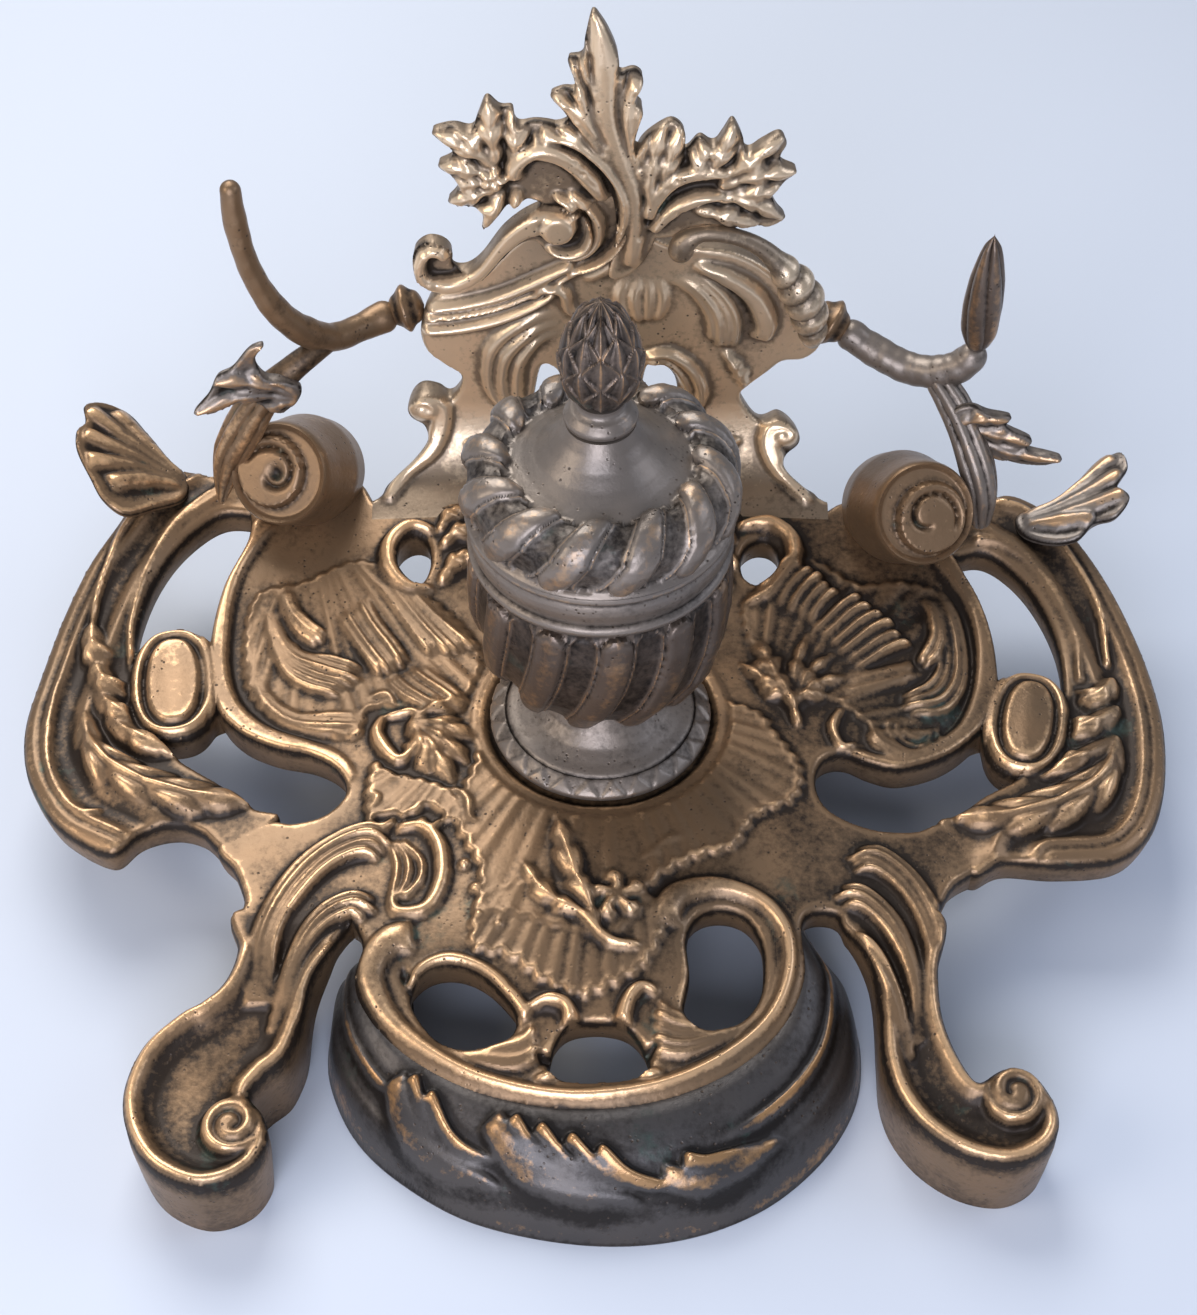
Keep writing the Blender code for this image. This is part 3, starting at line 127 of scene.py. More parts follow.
def smooth_line(points, closed=False, spacing=0.7):
    """Places at an even spacing along a smooth curve through the points."""
    points = np.array(points, float)
    if closed:
        run = np.concatenate([points[-1:], points, points[:2]])
    else:
        run = np.concatenate([2 * points[:1] - points[1:2], points, 2 * points[-1:] - points[-2:-1]])
    before, start, end, after = run[:-3], run[1:-2], run[2:-1], run[3:]
    t = np.linspace(0, 1, 16, endpoint=False)[:, None, None]
    curve = 0.5 * (2 * start + (end - before) * t + (2 * before - 5 * start + 4 * end - after) * t ** 2
                   + (after - before + 3 * (start - end)) * t ** 3)
    curve = curve.transpose(1, 0, 2).reshape(-1, points.shape[1])
    curve = np.concatenate([curve, curve[:1] if closed else points[-1:]])
    length = np.concatenate([[0], np.cumsum(np.linalg.norm(np.diff(curve, axis=0), axis=1))])
    places = np.linspace(0, length[-1], max(3, int(length[-1] / spacing) + 1))
    return np.stack([np.interp(places, length, column) for column in curve.T], axis=1)


# A pressed form is measured at points this far apart, closer than the cells
PRESSED_EVERY = 0.3


class Wax:
    """A flat sheet of fine cells that relief is pressed into, before it is cut out and bent."""

    def __init__(self, low, high, cell=CELL):
        self.low = low
        self.cell = cell
        self.u, self.v = np.meshgrid(np.arange(low[0], high[0], cell), np.arange(low[1], high[1], cell),
                                     indexing="ij")
        self.relief = np.zeros(self.u.shape)

    def window(self, low, high):
        """The slices of cells that cover a box."""
        starts = [max(0, int((low[axis] - self.low[axis]) / self.cell)) for axis in (0, 1)]
        ends = [max(0, int((high[axis] - self.low[axis]) / self.cell) + 2) for axis in (0, 1)]
        return slice(starts[0], ends[0]), slice(starts[1], ends[1])

    def nearest(self, line, reach):
        """The distance to a line, which side of it, and the share along it, up to a reach."""
        distance = np.full(self.u.shape, float(reach))
        side = np.ones(self.u.shape)
        share = np.zeros(self.u.shape)
        for number in range(len(line) - 1):
            start, end = line[number], line[number + 1]
            area = self.window(np.minimum(start, end) - reach, np.maximum(start, end) + reach)
            run = end - start
            across, up = self.u[area] - start[0], self.v[area] - start[1]
            part = np.clip((across * run[0] + up * run[1]) / max(run @ run, 1e-9), 0, 1)
            across, up = across - part * run[0], up - part * run[1]
            found = np.hypot(across, up)
            closer = found < distance[area]
            distance[area][closer] = found[closer]
            side[area][closer] = np.sign(run[0] * up - run[1] * across)[closer]
            share[area][closer] = ((number + part) / (len(line) - 1))[closer]
        return distance, side, share

    def inside(self, line):
        """True for the cells' corners that lie inside a closed line."""
        found = np.zeros(self.u.shape, bool)
        low, high = line[:-1], line[1:]
        for row, height in enumerate(self.v[0]):
            crossed = (low[:, 1] > height) != (high[:, 1] > height)
            a, b = low[crossed], high[crossed]
            places = np.sort(a[:, 0] + (height - a[:, 1]) / (b[:, 1] - a[:, 1]) * (b[:, 0] - a[:, 0]))
            found[:, row] = np.searchsorted(places, self.u[:, 0]) % 2 == 1
        return found

    def depth(self, points, reach=12.0):
        """How far each corner lies inside a smooth closed outline; outside it is below zero."""
        line = smooth_line(points, closed=True)
        distance = self.nearest(line, reach)[0]
        return np.where(self.inside(line), distance, -distance)

    def press(self, place, height, lengths, mode="highest"):
        """Presses a form: place(t, v) says where its points lie and height(t, v) how high.

        The form stands out where it is highest, or is added to what is there, below zero as a groove.
        """
        t, v = np.meshgrid(np.linspace(0, 1, max(3, int(lengths[0] / PRESSED_EVERY))),
                           np.linspace(-1, 1, max(5, int(lengths[1] / PRESSED_EVERY))), indexing="ij")
        x, y = place(t, v)
        across = np.rint((x - self.low[0]) / self.cell).astype(int)
        up = np.rint((y - self.low[1]) / self.cell).astype(int)
        rows, columns = self.u.shape
        kept = (across >= 0) & (across < rows) & (up >= 0) & (up < columns)
        cells = across[kept] * columns + up[kept]
        count = np.bincount(cells, minlength=rows * columns)
        total = np.bincount(cells, (height(t, v) + 0 * t)[kept], rows * columns)
        hit = count > 0
        pressed = total[hit] / count[hit]
        relief = self.relief.reshape(-1)
        if mode == "add":
            relief[hit] += pressed
        else:
            relief[hit] = np.maximum(relief[hit], pressed)

    def soften(self, values, reach, within=None):
        """Values averaged over about the reach, counting only what lies within the outline."""
        weight = np.ones(values.shape) if within is None else within.astype(float)
        size = max(1, int(reach / self.cell))
        blurred = []
        for array in (values * weight, weight):
            for axis in (0, 1, 0, 1):
                pad = [(0, 0), (0, 0)]
                pad[axis] = (size + 1, size)
                total = np.cumsum(np.pad(array, pad, mode="edge"), axis=axis)
                high = np.take(total, range(2 * size + 1, total.shape[axis]), axis=axis)
                low = np.take(total, range(0, total.shape[axis] - 2 * size - 1), axis=axis)
                array = (high - low) / (2 * size + 1)
            blurred.append(array)
        return blurred[0] / np.maximum(blurred[1], 1e-6)


def along(values, t):
    """A size that changes along a route: one number, or several at even shares of it."""
    values = np.atleast_1d(values).astype(float)
    return np.interp(t, np.linspace(0, 1, len(values)), values) if len(values) > 1 else values[0] + 0 * t


def rail(points):
    """A smooth route: its places and left-hand normals at a share along it, and its length."""
    line = smooth_line(points, spacing=0.5)
    run = np.gradient(line, axis=0)
    run /= np.maximum(np.linalg.norm(run, axis=1), 1e-9)[:, None]
    columns = (*line.T, -run[:, 1], run[:, 0])
    shares = np.linspace(0, 1, len(line))
    return (lambda t: [np.interp(t, shares, column) for column in columns]), 0.5 * len(line)


def round_form(v):
    """The section of a bead, from edge to edge."""
    return np.sqrt(np.clip(1 - v ** 2, 0, 1))


def flat_form(v):
    """The section of a flat band with rounded edges."""
    return np.sqrt(np.clip(1 - v ** 6, 0, 1))


def ridge(wax, points, half_width, height, form=round_form, mode="highest"):
    """A bead, band or groove along a route."""
    at, length = rail(points)

    def place(t, v):
        x, y, nx, ny = at(t)
        wide = along(half_width, t) * v
        return x + nx * wide, y + ny * wide

    def high(t, v):
        to_end = np.minimum(t, 1 - t) * length / (1.2 * np.max(half_width))
        end = np.sqrt(np.clip(1 - (1 - np.clip(to_end, 0, 1)) ** 2, 0, 1))
        return along(height, t) * form(v) * end
    wax.press(place, high, (length, 2 * np.max(half_width)), mode)


def leaf(wax, points, half_width, height, lobes=5, cut=0.4, sweep=0.8, floor=0.0,
         sides=(1.0, 1.0)):
    """An acanthus leaf: lobes swept forward from a spine, each with its own crown and eye."""
    at, length = rail(points)

    def wave(t):
        return lobes * t ** 0.9 + 0.15

    def place(t, v):
        wide = along(half_width, t) * np.where(v > 0, sides[0], sides[1])
        tooth = np.abs(np.sin(np.pi * wave(t))) ** 0.6
        wide = wide * (1 - cut * (1 - tooth))
        x, y, nx, ny = at(t)
        ahead = sweep * wide * np.abs(v) ** 1.5 / length
        fore = at(np.clip(t + ahead, 0, 1))
        return fore[0] + nx * wide * v, fore[1] + ny * wide * v

    def high(t, v):
        out = np.abs(v)
        tooth = np.abs(np.sin(np.pi * wave(t)))
        crown = 1 - out ** 3
        ribs = 1 - 0.55 * np.clip(out * 1.6, 0, 1) * (1 - tooth)
        vein = 0.22 * np.exp(-(out / 0.10) ** 2) - 0.20 * np.exp(-((out - 0.22) / 0.09) ** 2)
        return floor + along(height, t) * (0.25 + 0.75 * crown * ribs + vein)
    wax.press(place, high, (length, 2.4 * np.max(half_width)))


def plume(wax, edge_a, edge_b, ribs, height, floor=0.8, tips=0.05, rise=(0.35, 1.0, 1.15)):
    """A lock of ribs that run side by side between two edges and end in rounded tips."""
    at_a, length_a = rail(edge_a)
    at_b, length_b = rail(edge_b)
    wide = max(math.hypot(at_a(t)[0] - at_b(t)[0], at_a(t)[1] - at_b(t)[1]) for t in (0.3, 0.6, 0.9))

    def rib(v):
        strand = np.floor(ribs * (v + 1) / 2)
        uneven = 0.84 + 0.16 * np.cos(2.4 * strand + ribs)
        return uneven * np.abs(np.sin(np.pi * ribs * (v + 1) / 2)) ** 0.75

    def place(t, v):
        t = t * (1 - tips * (1 - rib(v)) - tips * 0.8 * np.abs(v))
        a, b = at_a(t), at_b(t)
        share = (v + 1) / 2
        return a[0] + (b[0] - a[0]) * share, a[1] + (b[1] - a[1]) * share

    def high(t, v):
        swell = np.interp(t, (0, 0.5, 0.92), rise)
        nose = np.sqrt(np.clip(1 - (np.clip(t - 0.88, 0, 1) / 0.12) ** 2, 0, 1))
        fade = ease(0, 0.3, t) * np.sqrt(np.clip(1 - v ** 6, 0, 1)) * nose
        return fade * (floor * np.minimum(1, 0.3 + t) + height * swell * rib(v))
    wax.press(place, high, (max(length_a, length_b), 1.2 * wide))


def field(wax, points, height, ribs, fan_from, rib_height, scallop=1.0, lip=0.5):
    """A raised field with a scalloped lip, its ribs running out from a far-off point."""
    line = smooth_line(points, closed=True)
    distance, _, share = wax.nearest(line, 12.0)
    wave = np.abs(np.sin(np.pi * share * len(line) * 0.7 / 4.4))
    depth = np.where(wax.inside(line), distance, -distance) - scallop * (1 - wave ** 0.7)
    turn = np.arctan2(wax.v - fan_from[1], wax.u - fan_from[0])
    uneven = 0.6 + 0.4 * np.sin(turn * 9 + 1.3) * np.sin(turn * 23)
    rib = np.abs(np.sin(turn * ribs)) ** 0.8 * uneven
    rise = height * ease(0, 1.4, depth) + lip * np.exp(-((depth - 1.1) / 0.8) ** 2)
    pressed = rise + rib_height * rib * ease(0.3, 2.0, depth)
    wax.relief = np.where(depth > 0, np.maximum(wax.relief, pressed), wax.relief)


def coil(centre, start, end, angle, turns):
    """Places on a spiral that winds from one radius to another, 14 to a turn."""
    shares = np.linspace(0, 1, max(6, int(14 * abs(turns))))
    radii = start + (end - start) * shares
    turn = np.radians(angle) + 2 * np.pi * turns * shares
    return [(centre[0] + r * math.cos(a), centre[1] + r * math.sin(a)) for r, a in zip(radii, turn)]


def oval(centre, across, along_y, lean):
    """Places on an oval whose long side leans by some degrees from the depth's direction."""
    lean = math.radians(lean)
    turn = np.linspace(0, 2 * np.pi, 24, endpoint=False)
    # a stadium rather than an ellipse: the sides run nearly straight
    x = across / 2 * np.sign(np.cos(turn)) * np.abs(np.cos(turn)) ** 0.8
    y = along_y / 2 * np.sign(np.sin(turn)) * np.abs(np.sin(turn)) ** 0.9
    return list(zip(centre[0] + x * math.cos(lean) - y * math.sin(lean),
                    centre[1] + x * math.sin(lean) + y * math.cos(lean)))


def closed_mesh(name, places, faces, wear_and_painted_light, material, nodes, body="root"):
    """Makes a piece from places and faces, with its wear value, which also carries painted light and shade,
    and hands it to the frame.
    """
    places = places * MM + np.array([*AXIS, 0])
    mesh = bpy.data.meshes.new(name)
    mesh.vertices.add(len(places))
    mesh.vertices.foreach_set("co", np.ascontiguousarray(places, np.float32).ravel())
    sizes = [face.shape[1] for face in faces]
    counts = [len(face) for face in faces]
    starts = np.concatenate([[0], np.cumsum(np.repeat(sizes, counts))])
    mesh.loops.add(int(starts[-1]))
    mesh.loops.foreach_set("vertex_index",
                           np.concatenate([face.ravel() for face in faces]).astype(np.int32))
    mesh.polygons.add(sum(counts))
    mesh.polygons.foreach_set("loop_start", starts[:-1].astype(np.int32))
    mesh.update(calc_edges=True)
    mesh.validate()
    mesh.attributes.new("wear_and_painted_light", 'FLOAT', 'POINT').data.foreach_set("value", wear_and_painted_light.astype(np.float32))
    mesh.shade_smooth()
    mesh.set_sharp_from_angle(angle=math.radians(55))
    piece = bpy.data.objects.new(name, mesh)
    bpy.context.scene.collection.objects.link(piece)
    mesh.materials.append(material)
    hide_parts(*nodes)
    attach(piece, body)
    return piece


# shares of a wall's height, with how far it stands out there
WALL_ROWS = ((0.0, 0.0), (0.30, 0.45), (0.75, 0.25), (1.0, -1.0))


def cut_out(name, wax, depth, face, underside, material, nodes, keep=None,
            round_over=1.6, rows=WALL_ROWS, flush=False, rub=0.0, even=6):
    """Cuts a piece out of the wax along an outline, rounds its edge, and gives it walls and a back.

    face and underside take (u, v, height) to the piece's place, height 0 being the bare sheet.
    Where flush is true the edge stays square, as another piece goes on there; the tone shift is added to
    the wear value, raising or lowering it for lighter or darker pieces, which on the deck, back, crest and
    apron is painted light and shade; and even is how often the outline's cells are evened out.
    """
    cells = (depth[:-1, :-1] + depth[1:, :-1] + depth[:-1, 1:] + depth[1:, 1:]) / 4 > 0
    own = cells if keep is None else cells & keep[:-1, :-1]
    rows_u, rows_v = wax.u.shape
    index = np.arange(rows_u * rows_v).reshape(rows_u, rows_v)
    quads = np.stack([index[:-1, :-1][own], index[1:, :-1][own], index[1:, 1:][own],
                      index[:-1, 1:][own]], axis=1)
    # corners that touch a cell outside the outline move onto it
    outside = np.zeros(wax.u.shape, bool)
    for du in (0, 1):
        for dv in (0, 1):
            outside[du:rows_u - 1 + du, dv:rows_v - 1 + dv] |= ~cells
    slope_u, slope_v = np.gradient(depth, wax.cell)
    steep = np.maximum(np.hypot(slope_u, slope_v), 1e-6)
    slope_u, slope_v = slope_u / steep, slope_v / steep
    snap = np.where(outside & (np.abs(depth) < 1.5 * wax.cell), depth, 0)
    u, v = wax.u - snap * slope_u, wax.v - snap * slope_v
    inward = np.where(outside, 0, np.clip(depth, 0, None))
    from_edge = np.where(flush, 99, inward)
    bend = np.clip(1 - from_edge / round_over, 0, 1)
    drop = round_over * (1 - np.sqrt(1 - bend ** 2)) * 0.999
    # beside the cut the relief is read from inside the outline, so that the edge runs even
    relief = np.where(depth < 0.3, wax.soften(wax.relief, 1.0, depth > 0.3), wax.relief) - drop
    within = depth > -wax.cell
    lift = relief - wax.soften(relief, 1.6, within)
    broad = relief - wax.soften(relief, 5.0, within)
    # lighter on raised work and edges, darker in the hollows: rubbing and dark patina, which also paints
    # the shade in the hollows
    wear_and_painted_light = 0.44 + 0.56 * lift + 0.10 * broad + 0.20 * (1 - ease(0.8, 3.0, from_edge)) + rub
    used = np.unique(quads)
    number = np.full(rows_u * rows_v, -1)
    number[used] = np.arange(len(used))
    quads = number[quads]
    flat_u, flat_v, flat_relief = (array.reshape(-1)[used] for array in (u, v, relief))
    out_u, out_v = -slope_u.reshape(-1)[used], -slope_v.reshape(-1)[used]
    # the rim of the cut, as edges that run with the piece on their left, its corners evened out
    edges = np.concatenate([quads[:, (a, (a + 1) % 4)] for a in range(4)])
    key = edges.min(axis=1) * len(used) + edges.max(axis=1)
    _, first, count = np.unique(key, return_index=True, return_counts=True)
    rim = edges[first[count == 1]]
    after, before = np.arange(len(used)), np.arange(len(used))
    after[rim[:, 0]] = rim[:, 1]
    before[rim[:, 1]] = rim[:, 0]
    outer = outside.reshape(-1)[used]
    free = outer & outer[after] & outer[before] & (after != before)
    for turn in range(25):
        for flat in (flat_u, flat_v, flat_relief, out_u, out_v)[0 if turn < even else 3:]:
            flat[free] = (0.5 * flat + 0.25 * flat[after] + 0.25 * flat[before])[free]
    top = face(flat_u, flat_v, flat_relief)
    draw = np.clip(1 - inward.reshape(-1)[used] / 5, 0, 1) * rows[-1][1]
    low = underside(flat_u + out_u * draw, flat_v + out_v * draw)
    corners = np.unique(rim)
    corner_number = np.full(len(used), -1)
    corner_number[corners] = np.arange(len(corners))
    cut = inward.reshape(-1)[used][corners] < 0.01
    places = [top, low]
    between = []
    for share, out in rows[1:-1]:
        shift = np.where(cut, out, 0)
        shifted = underside(flat_u[corners] + out_u[corners] * shift,
                            flat_v[corners] + out_v[corners] * shift)
        level = top[corners] + (low[corners] - top[corners]) * share
        aside = shifted - underside(flat_u[corners], flat_v[corners])
        between.append(sum(len(array) for array in places) + corner_number)
        places.append(level + aside)
    levels = [np.arange(len(used)), *between, len(used) + np.arange(len(used))]
    walls = []
    for upper, lower in zip(levels, levels[1:]):
        a, b = rim[:, 0], rim[:, 1]
        walls.append(np.stack([upper[a], lower[a], lower[b], upper[b]], axis=1))
    back = quads[:, ::-1] + len(used)
    all_wear_and_light = np.concatenate([wear_and_painted_light.reshape(-1)[used], np.full(len(used), 0.3)]
                              + [np.full(len(corners), 0.42)] * len(between))
    return closed_mesh(name, np.concatenate(places), [quads, back, *walls], np.clip(all_wear_and_light, 0, 1),
                       material, nodes)


def node(material, kind, settings=None, links=None):
    """Adds a node: settings are its properties, links its sockets' values or other sockets."""
    made = material.node_tree.nodes.new(kind)
    for name, value in (settings or {}).items():
        setattr(made, name, value)
    for name, value in (links or {}).items():
        if isinstance(value, bpy.types.NodeSocket):
            material.node_tree.links.new(value, made.inputs[name])
        else:
            made.inputs[name].default_value = value
    return made


def new_material(name):
    """A material, its shader, and the places on the piece in its own space."""
    made = bpy.data.materials.new(name)
    made.use_nodes = True
    return made, made.node_tree.nodes["Principled BSDF"], node(made, "ShaderNodeTexCoord").outputs["Object"]


def noise(material, where, scale, detail=2.0, roughness=0.5):
    """Cloudy values, in cells a metre."""
    return node(material, "ShaderNodeTexNoise", None, {
        "Vector": where, "Scale": scale, "Detail": detail, "Roughness": roughness}).outputs["Fac"]


def spread(material, value, low, high, to_low=0.0, to_high=1.0):
    """A value whose range from low to high is laid over another range."""
    return node(material, "ShaderNodeMapRange", None, {
        "Value": value, "From Min": low, "From Max": high,
        "To Min": to_low, "To Max": to_high}).outputs["Result"]


def worked_out(material, operation, *values):
    """What a Math node makes of values and other nodes' outputs."""
    return node(material, "ShaderNodeMath", {"operation": operation}, dict(enumerate(values))).outputs[0]


def mixed(material, factor, first, second, blend='MIX'):
    """Two colours mixed; a Mix node takes them in sockets 6 and 7 and gives the mix in output 2."""
    return node(material, "ShaderNodeMix", {"data_type": 'RGBA', "blend_type": blend}, {
        "Factor": factor, 6: first, 7: second}).outputs[2]


def bumped(material, height, distance, strength):
    """The surface's direction over bumps, their height in metres."""
    return node(material, "ShaderNodeBump", None, {
        "Height": height, "Distance": distance, "Strength": strength}).outputs["Normal"]


def connect(material, shader, sockets):
    """Joins nodes' outputs to the shader's sockets, by name."""
    for name, value in sockets.items():
        material.node_tree.links.new(value, shader.inputs[name])


# Old cast bronze under a brown patina: rubbed golden on the edges and raised work, near black in the
# hollows, where the dark patina also stands in for painted shade, with cool satin reflections partly
# painted in as grey patches, casting pits, and a little green in the corners.
def patinated_bronze(name, worn, body, hollow, roughness=0.36):
    made, shader, where = new_material(name)
    wear_and_painted_light = node(made, "ShaderNodeAttribute", {"attribute_name": "wear_and_painted_light"}).outputs["Fac"]
    # blotches 12 mm across, grain 1.5 mm, and pits about 0.5 mm across
    blotch = noise(made, where, 85.0, 4.0, 0.6)
    grain = noise(made, where, 650.0, 3.0, 0.6)
    pits = node(made, "ShaderNodeTexVoronoi", None, {
        "Vector": where, "Scale": 620.0, "Randomness": 1.0}).outputs["Distance"]
    uneven = worked_out(made, 'MULTIPLY_ADD', blotch, 0.56, -0.28)
    speckled = worked_out(made, 'MULTIPLY_ADD', grain, 0.44, -0.22)
    rubbed = worked_out(made, 'ADD', worked_out(made, 'ADD', wear_and_painted_light, uneven), speckled)
    # the ramp runs from the hollows' dark patina, which also stands in for painted shade, to the rubbed
    # colour
    ramp = node(made, "ShaderNodeValToRGB", None, {"Fac": rubbed})
    stops = ((0.12, hollow), (0.42, body), (0.60, body), (0.86, worn))
    ramp.color_ramp.elements.new(0.5)
    ramp.color_ramp.elements.new(0.7)
    for stop, (share, colour) in zip(ramp.color_ramp.elements, stops):
        stop.position = share
        stop.color = linear(colour)
    # copper green settles where nothing rubs
    damp = spread(made, noise(made, where, 38.0, 5.0, 0.7), 0.60, 0.74)
    deep = spread(made, rubbed, 0.42, 0.22)
    settled = worked_out(made, 'MULTIPLY', worked_out(made, 'MULTIPLY', damp, deep), 0.35)
    colour = mixed(made, settled, ramp.outputs["Color"], linear("5E7F70"))
    # painted cool grey sheen in broad patches: a reflection of cool light painted into the colour
    painted_cool_sheen = spread(made, noise(made, where, 26.0, 3.0, 0.6), 0.42, 0.66, to_high=0.55)
    colour = mixed(made, painted_cool_sheen, colour, linear("CBD6E4"), 'MULTIPLY')
    # pits lie in groups; a Mix node for numbers takes them in sockets 2 and 3
    hole = spread(made, pits, 0.10, 0.26)
    rare = spread(made, noise(made, where, 140.0), 0.53, 0.62)
    hole = node(made, "ShaderNodeMix", {"data_type": 'FLOAT'}, {"Factor": rare, 2: 1.0, 3: hole}).outputs[0]
    height = worked_out(made, 'MULTIPLY_ADD', grain, 0.9, hole)
    connect(made, shader, {
        "Base Color": mixed(made, hole, linear("40342A"), colour),
        "Roughness": spread(made, rubbed, 0.2, 0.9, roughness + 0.12, roughness - 0.08),
        "Normal": bumped(made, height, 0.00012, 0.8)})
    shader.inputs["Metallic"].default_value = 0.6
    return made


# each bronze has the colour of its rubbed edges, of its plain faces, and of its hollows, whose dark patina
# also stands in for painted shade
golden = patinated_bronze("golden patinated bronze", "E0B384", "85694D", "2E231A")
# a paler copy for the back and crest: partly rubbed high relief, partly painted light where they face the
# lights
pale = patinated_bronze("pale rubbed bronze", "E6C8A4", "907C66", "32281F")
brown = patinated_bronze("brown patinated bronze", "C09A74", "84776B", "2C241E")
# a darker copy of the brown patina for the apron: painted shade, standing for the dark surroundings it
# reflects
painted_shade_bronze = patinated_bronze("patinated bronze darkened as painted shade", "B98C5E", "504A46", "241E1A")
dark = patinated_bronze("dark patinated bronze", "A9835E", "65564A", "1F1915", roughness=0.34)

tray = Wax((-157, -137), (154, 92))
DECK = (
    (-98, 60), (-98, 72), (-90, 80), (-78, 83), (-68, 80), (-62, 71), (-50, 69), (0, 69), (50, 69),
    (62, 69), (67, 72), (76, 75), (88, 72), (96, 64), (98.5, 54), (104.5, 40), (107, 26), (106, 10),
    (100, -2), (90, -11), (78, -15.5), (70, -14), (63.5, -11), (58, -13), (55.5, -19), (56.5, -26),
    (61, -31), (70, -34.5), (80, -34.5), (88, -32), (95, -44), (88, -51), (83.5, -60), (82, -66), (62, -66),
    (58, -60), (50, -62), (49.5, -78), (43, -91), (30.5, -101.5), (12, -108.5), (-8, -110), (-28, -106.5),
    (-44, -99), (-54, -89.5), (-59.5, -79), (-58, -70), (-60, -64), (-64, -62.5), (-88, -62.5),
    (-88.5, -55), (-92, -46), (-97, -38.5), (-85, -31.5), (-78, -32), (-70, -29.5), (-65.5, -23),
    (-68, -16.5), (-75, -11.5), (-86, -8), (-96, -2), (-103, 8), (-106, 25), (-104, 44))
HOLES = (
    ((-46, -83), (-43, -77), (-37, -75), (-30, -77), (-24, -82), (-20, -88), (-23, -93), (-32, -95),
     (-40, -92)),
    ((21, -68), (24, -62), (30, -60), (36, -62.5), (39.5, -70), (39, -81), (34, -88), (25, -90.5),
     (20, -86), (21.5, -77)),
    ((-8, -90), (6, -90), (11.5, -100), (0, -103), (-12, -101)),
    ((-55.5, 49), (-56, 56), (-52, 60), (-48, 58), (-47, 51), (-50, 45)),
    ((39, 49), (40, 56), (45, 59), (49, 56), (49, 49), (44, 45)))
LEFT_ARM = (
    (-95, 69), (-96, 77), (-110, 82), (-120, 83), (-130, 75), (-136, 64), (-143, 50), (-149, 30),
    (-152.5, 6), (-151, -10), (-146, -22), (-138, -33), (-124, -41), (-117, -34.5), (-109, -32),
    (-102, -34), (-94, -40), (-82, -30), (-89.5, -26.5), (-98, -19), (-110, -10.5), (-118, -3),
    (-123.5, 6), (-125.5, 18), (-126.5, 32), (-124, 45), (-119, 56), (-112, 64.5), (-105, 69))
RIGHT_ARM = (
    (95, 58), (97, 66), (106, 72), (116, 75), (126, 69), (134, 59), (142, 43), (147.5, 25),
    (149.5, 8), (148.5, -8), (145, -24), (139, -36), (130, -43), (115, -44.5), (102, -43.5),
    (93, -47), (86, -32), (92, -28.5), (99, -22.5), (108, -17), (116, -10), (121, 0), (124, 10),
    (125, 22), (123.5, 33), (119, 44), (113, 52), (106, 56.5), (98, 55))
LEFT_LEG = (
    (-62, -58), (-90, -58), (-88.5, -70), (-91, -78.5), (-96, -83.5), (-101, -86.5), (-109, -94.5),
    (-112.5, -106), (-110, -117), (-103, -126), (-92, -130.5), (-82, -127), (-77.5, -119),
    (-79, -112), (-83, -107), (-80, -102), (-75, -97), (-72, -88), (-70, -78), (-65, -69))
RIGHT_LEG = (
    (60, -60), (84, -60), (82, -75), (82, -87), (85, -97), (89, -103.5), (92.5, -102),
    (96.5, -100.5), (102, -102), (106.5, -108), (107, -115), (103, -121), (95, -124.5), (85, -122.5),
    (76, -116), (70, -107), (67.5, -97), (67.5, -86), (66, -75))
APRON = (
    (-56, -62), (-66, -68), (-68, -78), (-67, -90), (-60, -105), (-48, -117), (-30, -127.5),
    (-5, -133), (18, -132), (38, -124.5), (53, -112), (62, -98), (65, -84), (63.5, -70), (56, -60),
    (44, -60), (30, -80), (0, -95), (-30, -85), (-52, -65))
RIM = (
    (-45.5, -67.5), (-51, -68.5), (-55, -73), (-55.5, -79), (-51, -87.5), (-42, -95.5),
    (-27.5, -103), (-8, -107), (12, -105), (28, -98.5), (40, -89), (45.5, -78), (45.5, -67),
    (40, -58.5), (30, -54.5), (20, -56.5), (16, -62), (16.5, -66))
LEFT_CARTOUCHE = oval((-114.5, 14), 25, 37, 7)
RIGHT_CARTOUCHE = oval((113, 1), 23.5, 36, -13)

depths = {name: tray.depth(points) for name, points in (
    ("deck", DECK), ("left_arm", LEFT_ARM), ("right_arm", RIGHT_ARM), ("left_leg", LEFT_LEG),
    ("right_leg", RIGHT_LEG), ("apron", APRON), ("left_cartouche", LEFT_CARTOUCHE),
    ("right_cartouche", RIGHT_CARTOUCHE))}
tray_depth = np.max([depth for name, depth in depths.items() if name != "apron"], axis=0)
for hole in HOLES:
    tray_depth = np.minimum(tray_depth, -tray.depth(hole))
rim_line = smooth_line(RIM)
rim_distance, rim_side, rim_share = tray.nearest(rim_line, 32)
# a cell's corner may lie this far outside an outline that crosses the cell
BESIDE = -1.5 * CELL
in_rim = (rim_distance < 3.6) & (depths["deck"] > BESIDE)

# Side arms: an outer roll, a cove, a bead, and a broad band that falls to the openings
LEFT_OUTER = ((-120, 84), (-130, 75), (-136, 64), (-143, 50), (-149, 30), (-152.5, 6), (-151, -10),
              (-146, -22), (-138, -33), (-124, -41))
RIGHT_OUTER = ((116, 76), (126, 69), (134, 59), (142, 43), (147.5, 25), (149.5, 8), (148.5, -8),
               (145, -24), (139, -36), (130, -43), (115, -44.5))
